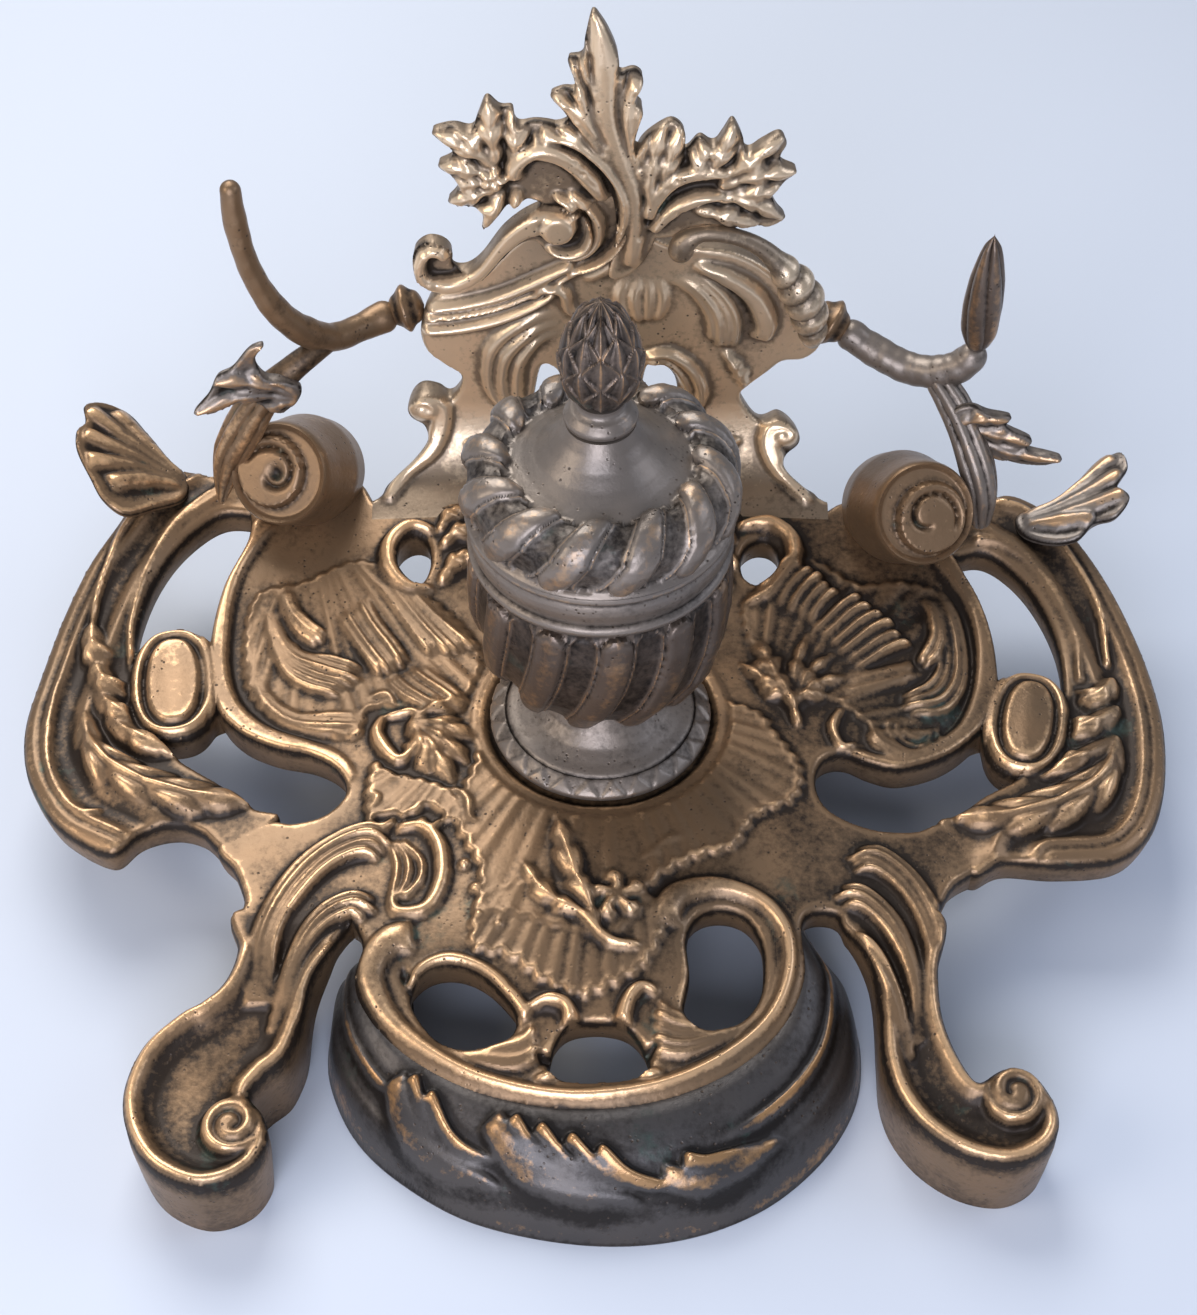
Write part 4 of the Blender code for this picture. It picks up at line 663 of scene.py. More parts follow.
# distances from the outer edge, with heights
ARM_SECTION = ((0, 0), (0.8, 1.2), (3.0, 1.7), (3.9, 0.9), (4.6, 0.9), (5.4, 1.9), (6.6, 1.9),
               (7.4, 0.9), (9.5, 0.0), (12, 0.1), (14, 1.4), (16, 2.2), (17.5, 1.2), (21, 0.2),
               (25, 0.0), (30, 0))
for outer, arm in ((LEFT_OUTER, "left_arm"), (RIGHT_OUTER, "right_arm")):
    distance = tray.nearest(smooth_line(outer), 30)[0]
    section = np.interp(distance, *zip(*ARM_SECTION))
    fade = ease(-2, 5, depths[arm]) * (1 - ease(0, 8, depths["deck"]))
    tray.relief = np.where(depths[arm] > -1, section * fade, tray.relief)
for route, wide, high in (
        (((-106, 82), (-119, 84), (-128, 72), (-134, 60), (-137.5, 45), (-138.5, 35), (-138, 22)),
         1.0, 3.4),
        (((-103, 79), (-112, 73), (-120, 63), (-125, 51), (-127.5, 40), (-128, 30), (-126, 18)), 1.3, 2.2),
        (((-128, -28), (-132, -28.5), (-138, -25), (-143.5, -15), (-145.5, 0), (-146, 15)), 0.8, 2.4),
        (((104, 60), (112, 58), (121, 50), (127, 40), (129.5, 28), (129, 15)), 1.3, 2.0),
        (((112, 72), (120, 68), (128, 58), (134.5, 45), (137, 33), (137, 20)), 1.0, 3.0)):
    ridge(tray, route, wide, high)
# acanthus that wraps the arms' lower ends
for base, tip in (((-139, 33), (-133, 20)), ((-137, 22), (-127, 10)), ((-135, 12), (-121, 1)),
                  ((-131, 3), (-111, -9))):
    middle = ((base[0] + tip[0]) / 2 - 1, (base[1] + tip[1]) / 2 - 2)
    leaf(tray, [base, middle, tip], (2.5, 4.5, 1.0), (1.5, 4.2, 2.0), lobes=2, cut=0.3, floor=1.0)
for base, tip in (((138, 16), (128, 8)), ((138, 6), (121, -3)), ((136, -5), (112, -16))):
    middle = ((base[0] + tip[0]) / 2 + 1, (base[1] + tip[1]) / 2 - 2)
    leaf(tray, [base, middle, tip], (2.5, 5, 1.0), (1.5, 4.2, 2.0), lobes=2, cut=0.3, floor=1.0)
for route, widths in (
        (((-137, 4), (-133, -8), (-123, -18), (-108, -24), (-90, -26)), (3, 6.5, 6.5, 5, 0.6)),
        (((136, -4), (130, -18), (118, -27), (104, -31), (91, -31)), (3, 7, 7, 5, 0.8))):
    leaf(tray, route, widths, (2, 5, 5, 4.4, 2.5), cut=0.3, sweep=1.4, floor=0.5)

# Cartouches: an oval cushion inside a rounded frame
for centre, size, lean, key in (((-114.5, 14), (25, 37), 7, "left_cartouche"),
                                ((113, 1), (23.5, 36), -13, "right_cartouche")):
    outer = tray.depth(oval(centre, size[0] - 1, size[1] - 1, lean))
    inner = tray.depth(oval(centre, size[0] - 9.5, size[1] - 8.0, lean))
    frame_height = 3.0 * ease(-0.5, 1.8, outer) - 2.2 * ease(-1.2, -0.2, inner)
    cushion = 2.8 * ease(-0.3, 1.0, inner) + 0.5 * ease(1.0, 7.0, inner)
    tray.relief = np.where(outer > -0.5, frame_height + cushion, tray.relief)

# Smooth bands that edge the shell fields beside the openings
for route, widths in (
        (((-93, 66), (-97, 60), (-102, 50), (-104.5, 38), (-104.5, 20), (-100, 6), (-91, -4), (-78, -10),
          (-70, -14), (-65, -21)), (3.0, 3.2, 3.8, 4.4, 4.6, 4.6, 4.2, 3.6)),
        (((94, 56), (99, 48), (104, 38), (105.5, 24), (103, 9), (97, -4), (86, -12), (74, -15), (64, -12)),
         (3.0, 3.6, 4.2, 4.6, 4.8, 4.6, 3.4))):
    ridge(tray, route, widths, (1.8, 2.2, 2.6, 2.6, 2.4, 1.8, 0.8), flat_form)

# Ribbed ground on both sides
for outline, ribs, fan_from in (
        (((-96, 42), (-82, 47), (-66, 53), (-50, 44), (-36, 31), (-31, 18), (-36, 4), (-46, 0), (-60, 3),
          (-63, -7), (-78, -4), (-90, 4), (-97, 18)), 44, (-84, 72)),
        (((38, 36), (46, 47), (58, 53), (71, 46), (84, 47), (97, 40), (98, 12), (88, -4), (74, -6), (68, 0),
          (60, 6), (50, 2), (43, 14)), 30, (40, -6))):
    field(tray, outline, 0.5, ribs, fan_from, 0.9)
# Left shell field: locks of ribs that curl down from the shoulder, tier over tier
plume(tray, ((-97, 40), (-96, 24), (-92, 9), (-84, -1), (-74, -5), (-63, -5)),
      ((-94, 38), (-92, 22), (-88, 11), (-80, 3.5), (-70, 3), (-61, 2)), 4, 1.6, floor=0.9, tips=0.05)
plume(tray, ((-93, 47), (-91, 30), (-86, 17), (-78, 10), (-66, 6)),
      ((-88, 42), (-86, 31), (-80, 24), (-72, 22), (-61, 17)), 6, 2.4, floor=1.2, tips=0.08,
      rise=(0.5, 1.0, 1.5))
plume(tray, ((-90, 49), (-88, 38), (-83, 29), (-76, 24)), ((-85, 48), (-83, 39), (-78, 33), (-73, 29)), 3,
      1.4, floor=2.2, rise=(0.5, 1.0, 1.2))
plume(tray, ((-66, 52), (-60, 41), (-53, 30), (-45, 18)), ((-52, 45), (-46, 38), (-38, 30), (-30, 22)), 7,
      2.4, floor=0.9, tips=0.08, rise=(0.6, 1.0, 1.3))
plume(tray, ((-75, 39), (-70, 30), (-64, 20), (-58, 12)), ((-65, 45), (-60, 34), (-54, 25), (-50, 17)), 5,
      2.4, floor=1.2, tips=0.08, rise=(0.6, 1.0, 1.3))
plume(tray, ((-60, 16), (-56, 9), (-51, 4), (-45, 0)), ((-49, 21), (-44, 15), (-39, 10), (-34, 4)), 5, 2.2,
      floor=0.9, tips=0.1, rise=(0.6, 1.0, 1.4))
# the eye with its curl, the vine leaf beside it, the broken leaf below, and knots along its foot
ridge(tray, ((-62, 7), (-57, 8), (-54, 4)), (0.8, 1.4, 0.8), (1.4, 2.2, 1.6))
ridge(tray, ((-57, 1), (-58.5, -5), (-56, -11), (-52, -15), (-49.5, -12), (-51, -9)),
      (1.0, 1.8, 2.2, 2.2, 1.8, 1.0), (1.8, 2.8, 3.0, 2.8, 2.6, 2.2))
ridge(tray, ((-57, 0), (-50, 1), (-44, 0)), (1.0, 1.4, 0.8), (2.2, 3.0, 2.0))
for tip in ((-35, 5), (-33.5, -8), (-34.5, -16), (-38, -22), (-44, -19)):
    leaf(tray, ((-50, -2), ((-50 + tip[0]) / 2, (tip[1] - 2) / 2 + 1), tip), (1.6, 4.6, 0.8),
         (2.0, 3.6, 1.8), lobes=3, cut=0.45)
field(tray, ((-59, -14), (-53, -18), (-44, -21), (-37, -25), (-34, -33), (-39, -36), (-43, -31), (-49, -34),
             (-55, -33), (-59, -36), (-61, -26)), 1.3, 30, (-26, 2), 0.7)
for route in (((-60, -24), (-57, -27), (-59, -31)), ((-59, -34), (-55, -36), (-52, -33)),
              ((-46, -33), (-43, -37), (-40, -34)), ((-38, -24), (-34, -28), (-33, -34), (-30, -36))):
    ridge(tray, route, (0.8, 1.5, 0.8), (1.8, 2.8, 1.8))
for place in ((-30, -62), (-25, -65), (-34, -47), (-31, -54)):
    ridge(tray, ((place[0] - 1.2, place[1]), (place[0] + 1.2, place[1] - 1)), 1.4, 2.4)
# Right shell field: two fans of thick ribs, and a roll of strands that closes round below them
plume(tray, ((40, 38), (43, 44), (47, 49), (53, 54)), ((58, 28), (60, 34), (63, 38), (67, 42)), 6, 2.2,
      floor=1.6, tips=0.08, rise=(0.5, 0.9, 1.4))
plume(tray, ((54, 28), (60, 34), (65, 39), (71, 43)), ((67, 14), (74, 19), (80, 23), (87, 26)), 6, 2.2,
      floor=1.8, tips=0.08, rise=(0.5, 0.9, 1.4))
plume(tray, ((62, 15), (69, 17), (77, 19), (86, 22)), ((60, 6), (68, 8), (77, 11), (85, 14)), 5, 1.3,
      floor=1.5, tips=0.05)
plume(tray, ((91, 49), (98, 38), (100, 24), (98, 11), (91, 2), (79, 2)),
      ((86, 47), (90, 38), (91, 28), (90, 19), (86, 13), (79, 9)), 4, 2.4, floor=1.6, tips=0.04,
      rise=(0.5, 1.0, 1.3))
plume(tray, ((89, 45), (93, 36), (94, 27), (91, 20), (87, 17)),
      ((86, 44), (89, 37), (89, 29), (86, 23), (84, 20)), 2, 1.6, floor=3.0, rise=(0.5, 1.0, 1.2))
plume(tray, ((103, 4), (98, -9), (88, -14), (78, -13), (71, -9), (69, -2)),
      ((98, 2), (94, -5), (87, -9), (80, -9), (75, -5), (73, 0)), 3, 1.3, floor=1.0)
for size in (7.5, 5.2, 3.0):
    ridge(tray, coil((83, -3), size, size * 0.8, 150, 0.62), 0.8, 1.8)
leaf(tray, ((52, -3), (50, 6), (46, 15), (43, 26)), (1.0, 3.4, 4.4, 0.8), (2.2, 3.8, 3.6, 2), lobes=5,
     cut=0.45)
for tip in ((56, 28), (62, 22), (65, 15), (60, 8), (42, 10), (38, 18)):
    leaf(tray, ((51, 4), ((51 + tip[0]) / 2 - 1, (6 + tip[1]) / 2), tip), (1.2, 3.0, 0.6), (2.0, 3.6, 2.0),
         lobes=3)
ridge(tray, ((64, 4), (61, -3), (63, -9), (67, -8)), (1.0, 1.6, 1.4, 0.8), (1.6, 2.6, 2.2, 1.6))
# C-shaped frames round the two rear openings, with broken leaf work beside them
for route in (((-46, 61), (-53, 62), (-58, 57), (-58, 49), (-53, 43), (-46, 43)),
              ((38, 62), (47, 63), (53, 58), (53, 50), (47, 42), (39, 38))):
    ridge(tray, route, (1.2, 2.4, 2.8, 2.8, 2.4, 1.2), (2.4, 3.6, 3.8, 3.6, 3.0, 2.0))
for base, tip in (((-44, 45), (-35, 54)), ((-44, 56), (-34, 61)), ((-45, 60), (-38, 68)),
                  ((-40, 50), (-30, 50)), ((37, 57), (30, 64)), ((38, 50), (29, 54)), ((36, 44), (28, 46)),
                  ((38, 64), (32, 69))):
    leaf(tray, (base, ((base[0] + tip[0]) / 2, (base[1] + tip[1]) / 2 + 1.5), tip), (1.4, 3.4, 0.8),
         (2.2, 3.8, 2.0), lobes=3, cut=0.4)

# Fields round the urn, with the ribs of a shell, to broken scalloped edges in front
field(tray, ((-28, -4), (-34, -18), (-38, -33), (-34, -43), (-31, -50), (-31, -61), (-20, -64), (-12, -67),
             (0, -70), (8, -66), (14, -54), (24, -47), (34, -43), (40, -34), (50, -28), (53, -18), (47, -6),
             (38, 4), (0, 12)), 1.1, 34, (0, 8), 0.55, scallop=1.3, lip=0.6)
field(tray, ((-31, -58), (-32, -71.5), (-23, -74), (-14, -80.5), (-5, -84), (6, -80), (13, -74), (17, -62),
             (8, -55), (-20, -52)), 0.7, 40, (0, -20), 0.9, scallop=1.6, lip=0.8)
radius = np.hypot(tray.u, tray.v)
seat_ring = 0.5 * np.exp(-((radius - 31.5) / 1.2) ** 2) - 1.6 * (radius < 29.9)
tray.relief = np.where(radius < 34, seat_ring + 0.7 * ease(31.5, 34, radius), tray.relief)

# Flower and sprig in the middle of the front
leaf(tray, [(0, -68), (-3, -60), (-7, -50), (-11, -34)], (1.5, 4.0, 4.6, 0.6), (2.6, 5.0, 4.6, 2.5),
     lobes=4, cut=0.3, sides=(1.0, 0.8))
leaf(tray, [(0, -66), (-7, -62), (-14, -57), (-20, -47)], (1.2, 3.0, 3.2, 0.6), (2, 4.0, 3.4, 2.2), lobes=4)
ridge(tray, [(-10, -58), (-4, -64), (2, -70), (10, -71)], (0.8, 1.4, 1.6, 1.0), (3.2, 4.0, 3.6, 2.6))
for number in range(5):
    angle = math.radians(72 * number + 20)
    leaf(tray, [(4, -58), (4 + 4 * math.cos(angle), -58 + 4 * math.sin(angle)),
                (4 + 7 * math.cos(angle + 0.4), -58 + 7 * math.sin(angle + 0.4))],
         (1.5, 2.8, 1.2), (3.0, 4.4, 2.4), lobes=2, cut=0.25)
for tip in ((16, -44), (24, -40)):
    leaf(tray, [(10, -47), ((10 + tip[0]) / 2, tip[1] - 1), tip], (1.0, 2.0, 0.6), (1.6, 2.0, 1.4), lobes=2)

# Front rim: a golden bead along the outside, a cove that falls to the openings, two rolled heads
inside_rim = (rim_side > 0) & (rim_distance < 10) & (depths["deck"] > 0) & (tray.v < -56)
rim_cove = np.interp(rim_distance, (1.2, 2.4, 6.5, 10.0), (1.8, 0.3, 0.0, -4.0))
tray.relief = np.where(inside_rim & (rim_share > 0.04) & (rim_share < 0.90), rim_cove, tray.relief)
ridge(tray, RIM, (4.6, 3.0, 1.7, 1.5, 1.5, 1.5, 1.7, 2.6, 4.4),
      (3.0, 2.6, 2.5, 2.5, 2.5, 2.5, 2.6, 2.8, 3.0))
ridge(tray, ((-45, -80), (-43, -76), (-37, -73.5), (-29, -76), (-23, -81), (-17, -88)), 1.8, 2.0)
# a C-shaped leaf on each side of the middle opening, with strands that curl out of it
for edge_a, edge_b, ribs in (
        (((-38, -96), (-30, -99), (-21, -101), (-13, -98)),
         ((-28, -92), (-23, -93), (-18, -91), (-16, -87)), 5),
        (((37, -90), (28, -95), (20, -98), (11, -97)), ((30, -86), (24, -87), (18, -86), (13, -82)), 5)):
    plume(tray, edge_a, edge_b, ribs, 1.8, floor=0.4, tips=0.08)
for route in (((-18, -86), (-12.5, -84), (-8, -86), (-7, -92), (-8.5, -98), (-12, -102), (-16, -103)),
              ((14, -82), (9.6, -81), (6.4, -85), (5.4, -91), (7, -97), (10.5, -101), (15, -101.5))):
    ridge(tray, route, (1.0, 1.8, 2.0, 1.9, 1.6, 1.0), (2.0, 3.2, 3.4, 3.2, 2.6, 1.8))

# Legs: a raised rim round a hollowed face, and locks of acanthus that curl over onto the tray
for side in ("left", "right"):
    leg_depth = np.where(tray.v < -56, depths[f"{side}_leg"], 0)
    rim_and_dish = np.interp(leg_depth, (0, 1.6, 3.0, 5.0, 8.0, 12.0), (1.0, 2.2, 1.8, -0.6, -1.8, -1.6))
    fade = ease(62, 72, -tray.v)
    tray.relief = np.where(leg_depth > 0, rim_and_dish * fade + tray.relief * (1 - fade), tray.relief)
LOCKS = (
    (((-86, -84), (-86, -66), (-79, -48), (-69, -38), (-58, -34), (-50, -39)),
     ((-79, -84), (-78, -66), (-72, -54), (-66, -47.5), (-59, -45), (-54, -48)), 4),
    (((-80, -90), (-77, -73), (-71, -60), (-62, -54.5), (-53, -57)),
     ((-76, -92), (-73, -76), (-68, -67), (-62, -63), (-57, -64)), 3),
    (((-77, -94), (-73, -80), (-67, -70), (-60, -67)), ((-74, -96), (-70, -84), (-66, -77), (-62, -74)), 2),
    (((84, -88), (86, -68), (81, -51), (71, -41), (61, -42)),
     ((79, -88), (79, -70), (75, -57), (68, -49.5), (61, -50)), 4),
    (((79, -92), (78, -76), (74, -62), (66, -53), (57, -52)),
     ((75, -94), (74, -79), (70, -68), (64, -61), (58, -60)), 3),
    (((75, -96), (73, -82), (68, -70), (61, -64)), ((72, -98), (70, -86), (66, -77), (62, -71)), 2))
for edge_a, edge_b, ribs in LOCKS:
    plume(tray, edge_a, edge_b, ribs, 2.2, floor=1.4, tips=0.06, rise=(0.5, 1.0, 1.4))
ridge(tray, ((-52, -36), (-45, -36), (-40.5, -42), (-39.5, -52), (-43, -60), (-50, -60.5), (-52, -56)),
      (1.5, 2.0, 2.2, 2.2, 2.0, 1.2), (1.6, 2.6, 2.6, 2.4, 2.2, 1.4))
for shift in (0, 3.2, 6.0):
    ridge(tray, ((-50 - shift * 0.6, -40), (-45 - shift, -46), (-45 - shift, -52),
                 (-49 - shift * 0.5, -57)), 0.9, 1.6)
for centre, start, turns, angle in (((-86, -115), 6.5, -1.4, 60), ((97.5, -107), 6.8, 1.35, 100)):
    dome = np.hypot(tray.u - centre[0], tray.v - centre[1])
    boss = 3.4 * np.sqrt(np.clip(1 - (dome / 7.5) ** 6, 0, 1))
    tray.relief = np.where(dome < 7.5, np.maximum(tray.relief, boss), tray.relief)
    ridge(tray, coil(centre, start, 1.2, angle, turns), 0.8, -1.5, mode="add")

tray.relief = tray.soften(tray.relief, 0.5)


# how thick the castings of the tray are
CASTING = 9


def tray_face(u, v, height):
    return np.stack([u, v, np.maximum(deck_face(u, v) + height, 0.3)], axis=1)


def deck_back(u, v):
    return np.stack([u, v, deck_face(u, v) - CASTING], axis=1)


def leg_back(u, v):
    return np.stack([u, v, (deck_face(u, v) - CASTING) * (1 - ease(66, 90, -v))], axis=1)


def table_back(u, v):
    return np.stack([u, v, 0 * u], axis=1)


# Apron: a swelling roll from the rim's groove down to a bead near the table
foot_distance = tray.nearest(smooth_line(APRON[:15]), 40)[0]
share = rim_distance / (rim_distance + foot_distance + 0.01)
# shares of the way from the rim to the foot, with shares of the rim's height
APRON_SECTION = ((0, 0.88), (0.04, 0.86), (0.08, 0.875), (0.14, 0.895), (0.24, 0.89), (0.36, 0.84),
                 (0.50, 0.76), (0.64, 0.63), (0.735, 0.52), (0.80, 0.49), (0.84, 0.44), (0.88, 0.36),
                 (0.93, 0.24), (0.97, 0.12), (1.0, 0.03))
inside_by = np.where(rim_side > 0, rim_distance, -rim_distance)
apron_depth = np.minimum(depths["apron"], 3.0 - inside_by)
rim_height = np.interp(rim_share, np.linspace(0, 1, len(rim_line)),
                       deck_face(rim_line[:, 0], rim_line[:, 1]) + 2)
fine = np.linspace(0, 1, 400)
section = np.interp(fine, *zip(*APRON_SECTION))
# its corners are rounded off by averaging
for turn in range(120):
    section[1:-1] = (section[:-2] + 2 * section[1:-1] + section[2:]) / 4
apron_height = rim_height * np.interp(share, fine, section)
roll = Wax(tray.low, (154, 92))
sides = ease(26, 44, np.abs(roll.u + 2)) * (roll.v > -122)
roll.relief = (1.6 * np.exp(-((share - 0.56) / 0.030) ** 2) - 1.0 * np.exp(-((share - 0.49) / 0.03) ** 2)
               - 0.8 * np.exp(-((share - 0.64) / 0.03) ** 2)) * sides
for route, widths, heights in (
        (((-49, -101), (-46, -109), (-38, -117), (-24, -125)), (3.0, 4.4, 3.6, 1.0), (3.4, 3.6, 2.4, 1.0)),
        (((-26, -112), (-21, -118), (-10, -124), (10, -128.5)), (3.2, 5.2, 4.2, 1.0), (3.8, 4.0, 2.8, 1.0)),
        (((14, -123.5), (21, -124), (31, -120.5), (43, -113)), (2.4, 3.4, 2.6, 0.8), (2.8, 3.2, 2.6, 1.4))):
    ridge(roll, route, widths, heights)
# the folds between, and small round lobes where each fold begins
for head, tip in (((-45, -102), (-30, -118)), ((-41, -106), (-23, -121)), ((-21, -112.5), (-2, -122.5)),
                  ((-15, -114.5), (7, -125)), ((-8, -117), (16, -126)), ((-1, -119.5), (22, -125)),
                  ((19, -121), (38, -115))):
    bow = ((head[0] + tip[0]) / 2 - 2.5, (head[1] + tip[1]) / 2 - 2.5)
    ridge(roll, (head, bow, tip), (1.9, 1.5, 0.6), (5.2, 4.0, 1.4))
    ridge(roll, (head, bow, tip), (0.35, 0.35, 0.35), (-1.2, -1.0, -0.4), mode="add")
roll.relief = roll.soften(roll.relief, 0.5)


def apron_face(u, v, height):
    across = (u - roll.low[0]) / roll.cell
    up = (v - roll.low[1]) / roll.cell
    i, j = across.astype(int), up.astype(int)
    a, b = across - i, up - j
    grid = apron_height
    base = (grid[i, j] * (1 - a) * (1 - b) + grid[i + 1, j] * a * (1 - b)
            + grid[i, j + 1] * (1 - a) * b + grid[i + 1, j + 1] * a * b)
    return np.stack([u, v, np.maximum(base + height, 0.6)], axis=1)


# which casting each cell belongs to; each one keeps the cells that its outline only crosses, too
owner = np.full(tray.u.shape, "deck", dtype=object)
for name in ("left_arm", "right_arm", "left_leg", "right_leg"):
    owner[(depths[name] > BESIDE) & (depths[name] > depths["deck"])] = name
for name in ("left_cartouche", "right_cartouche"):
    beside = np.maximum(depths["deck"], depths[name.replace("cartouche", "arm")])
    owner[(depths[name] > BESIDE) & (beside < 0) & (depths[name] > beside)] = name
owner[(owner == "deck") & in_rim] = "rim"


def tray_piece(name, node_name, zone, underside=deck_back, **more):
    """One casting of the tray, cut out of its wax."""
    cut_out(name, tray, tray_depth, tray_face, underside, golden, [node_name], keep=zone, even=14, **more)


# the arms and legs are made a little darker
for side in ("left", "right"):
    tray_piece(f"{side}_arm_scroll", f"{side}_arm", owner == f"{side}_arm", rub=-0.10)
    tray_piece(f"{side}_cartouche_oval", f"{side}_cartouche", owner == f"{side}_cartouche")
    tray_piece(f"{side}_leg_scroll", f"{side}_front_leg", owner == f"{side}_leg", leg_back, rub=-0.14)
# the apron takes the darker bronze and a lower wear value: painted shade
for name, zone in (("apron_roll_left", roll.u < 0), ("apron_roll_right", roll.u >= 0)):
    cut_out(name, roll, apron_depth, apron_face, table_back, painted_shade_bronze, ["front_apron"], keep=zone,
            round_over=0.6, rows=((0.0, 0.0), (0.5, 0.1), (1.0, 0.0)), rub=-0.06, even=14)
tray_piece("rim_scroll", "front_rim", owner == "rim")
# the deck darkens towards the right: painted shade, as the light falls from the left
for name, zone in (("deck_left_shell", (tray.u < 0) & (tray.v > -20)),
                   ("deck_right_shell", (tray.u >= 0) & (tray.v > -20)),
                   ("deck_front_left", (tray.u < 0) & (tray.v <= -20)),
                   ("deck_front_right", (tray.u >= 0) & (tray.v <= -20))):
    tray_piece(name, "tray_deck", (owner == "deck") & zone, flush=(tray.v > 62) & (np.abs(tray.u) < 62),
               rub=-0.16 * ease(20, 60, tray.u))

# Back: one sheet that sweeps up from the deck and stands, with two windows and C-scrolls on its edges
# The sweep leaves the deck at SWEEP_Y, and stands upright SWEEP_DEEP behind and SWEEP_HIGH above it
SWEEP_Y = 66.0
SWEEP_DEEP = 25
SWEEP_HIGH = 28
SWEEP_FOOT = float(deck_face(0.0, SWEEP_Y))
SWEEP_QUARTER = math.pi / 4 * (SWEEP_DEEP + SWEEP_HIGH)
HALF_SHEET = 3


def swept(x, along_sheet, out):
    """A place on the back: across, along the sheet from the deck, and out from its middle."""
    share = np.clip(along_sheet / SWEEP_QUARTER, 0, 1)
    angle = share * math.pi / 2
    depth = SWEEP_Y + SWEEP_DEEP * np.sin(angle)
    high = SWEEP_FOOT + SWEEP_HIGH * (1 - np.cos(angle)) + np.maximum(along_sheet - SWEEP_QUARTER, 0)
    high = np.where(along_sheet < 0, SWEEP_FOOT, high)
    depth = np.where(along_sheet < 0, SWEEP_Y + along_sheet, depth)
    lean = np.arctan2(SWEEP_HIGH * np.sin(angle), SWEEP_DEEP * np.cos(angle))
    high = high + (deck_face(x, SWEEP_Y) - SWEEP_FOOT) * (1 - ease(0, 24, along_sheet))
    # it leaves the deck at the deck's own slope
    high = high + 0.2 * along_sheet * (1 - ease(0, 16, along_sheet))
    return np.stack([x + 0 * depth, depth - out * np.sin(lean),
                     high - HALF_SHEET + out * np.cos(lean)], axis=1)


def back_face(u, v, height):
    return swept(u, v, HALF_SHEET + height)


def back_behind(u, v):
    return swept(u, v, -HALF_SHEET)


BACK = (
    (-61, -1), (-61, 10), (-58, 15), (-52.5, 21), (-48.5, 27), (-49, 31), (-53, 34), (-53.5, 39),
    (-49.5, 43), (-44.5, 42), (-42, 40), (-39, 44), (-38.5, 49), (-43, 53), (-47.5, 58), (-48.5, 66),
    (-45, 76), (-38, 80), (-30, 86), (-22, 95), (-15, 100), (-10, 110), (-2, 116), (7, 112),
    (10, 100), (18, 94), (26, 93), (36, 91), (45, 85), (53, 75), (58, 67), (60, 60), (56, 55),
    (50, 54), (46, 50), (42, 46), (39, 42), (41, 37), (45, 33), (50, 34.5), (55, 31), (56, 26),
    (52, 22), (52, 18), (57, 12), (61, 9), (61, -1))
WINDOWS = (((-16, 52.5), (-11.5, 50), (-9, 41), (-11.5, 34), (-17, 32.5), (-20, 34.5), (-18.5, 41)),
           ((13, 52.5), (17.5, 53), (20.5, 49), (21.5, 40), (20, 34.5), (14, 36), (11.5, 41)))
back = Wax((-64, -3), (64, 119), 0.46)
back_depth = back.depth(BACK)
for window in WINDOWS:
    back_depth = np.minimum(back_depth, -back.depth(window))
# the edge C-scrolls: a stem that follows the edge and ends in a rolled head
for route, widths, heights in (
        (((-60, 6), (-55, 17), (-47.5, 25), (-44.5, 34), (-45, 40), (-49, 43)),
         (1.6, 2.4, 3.0, 3.0, 2.8, 2.0), (1.4, 2.2, 2.8, 3.0, 2.8, 2.2)),
        (((59, 5), (54, 13), (49.5, 20), (47.5, 27), (49, 33), (52, 33)), (1.6, 2.4, 3.0, 3.2, 3.2, 2.4),
         (1.4, 2.2, 3.0, 3.2, 3.0, 2.6)),
        (((25, 88), (34, 84), (41, 78), (44.5, 69), (43, 63)), (1.2, 2.6, 3.0, 3.2, 2.8),
         (1.8, 3.0, 3.4, 3.6, 3.4))):
    ridge(back, route, widths, heights, flat_form)
# mouldings that run side by side under the bar, and a scroll that drops from their end
for route, wide, high in (
        (((-47, 74), (-38, 75), (-27, 78), (-17, 83), (-7, 89)), (1.2, 1.7, 2.0, 2.0, 1.4), 3.2),
        (((-47, 70), (-38, 71), (-27, 74), (-16, 79.5), (-6, 86)), 0.8, 2.8),
        (((-48, 66), (-38, 67), (-27, 70), (-17, 75), (-12, 79)), (1.4, 1.8, 1.8, 1.4, 0.8), 2.8),
        (((-18, 77), (-15, 81), (-10, 80), (-8.5, 74), (-5, 70)), (0.8, 1.5, 1.7, 1.5, 0.8),
         (2.6, 3.8, 4.0, 3.4, 2))):
    ridge(back, route, wide, high)
for route, wide, high in (
        (((7, 108), (6.5, 100), (3.5, 93.5), (-2, 88.5), (-9, 85.5)), (1.4, 1.3, 1.2, 1.1, 0.8),
         (5.5, 5.2, 4.8, 4.2, 3)),
        (((-4, 109), (-0.5, 103), (-1.5, 96), (-6, 92), (-12, 92)), (1.4, 1.8, 1.8, 1.6, 1.0),
         (4.6, 4.6, 4.4, 4, 3)),
        (((12, 100), (9, 94), (3, 88), (-4, 83)), (2.4, 2.6, 2.2, 1.0), (3.6, 3.0, 2.2, 1.2))):
    ridge(back, route, wide, high)
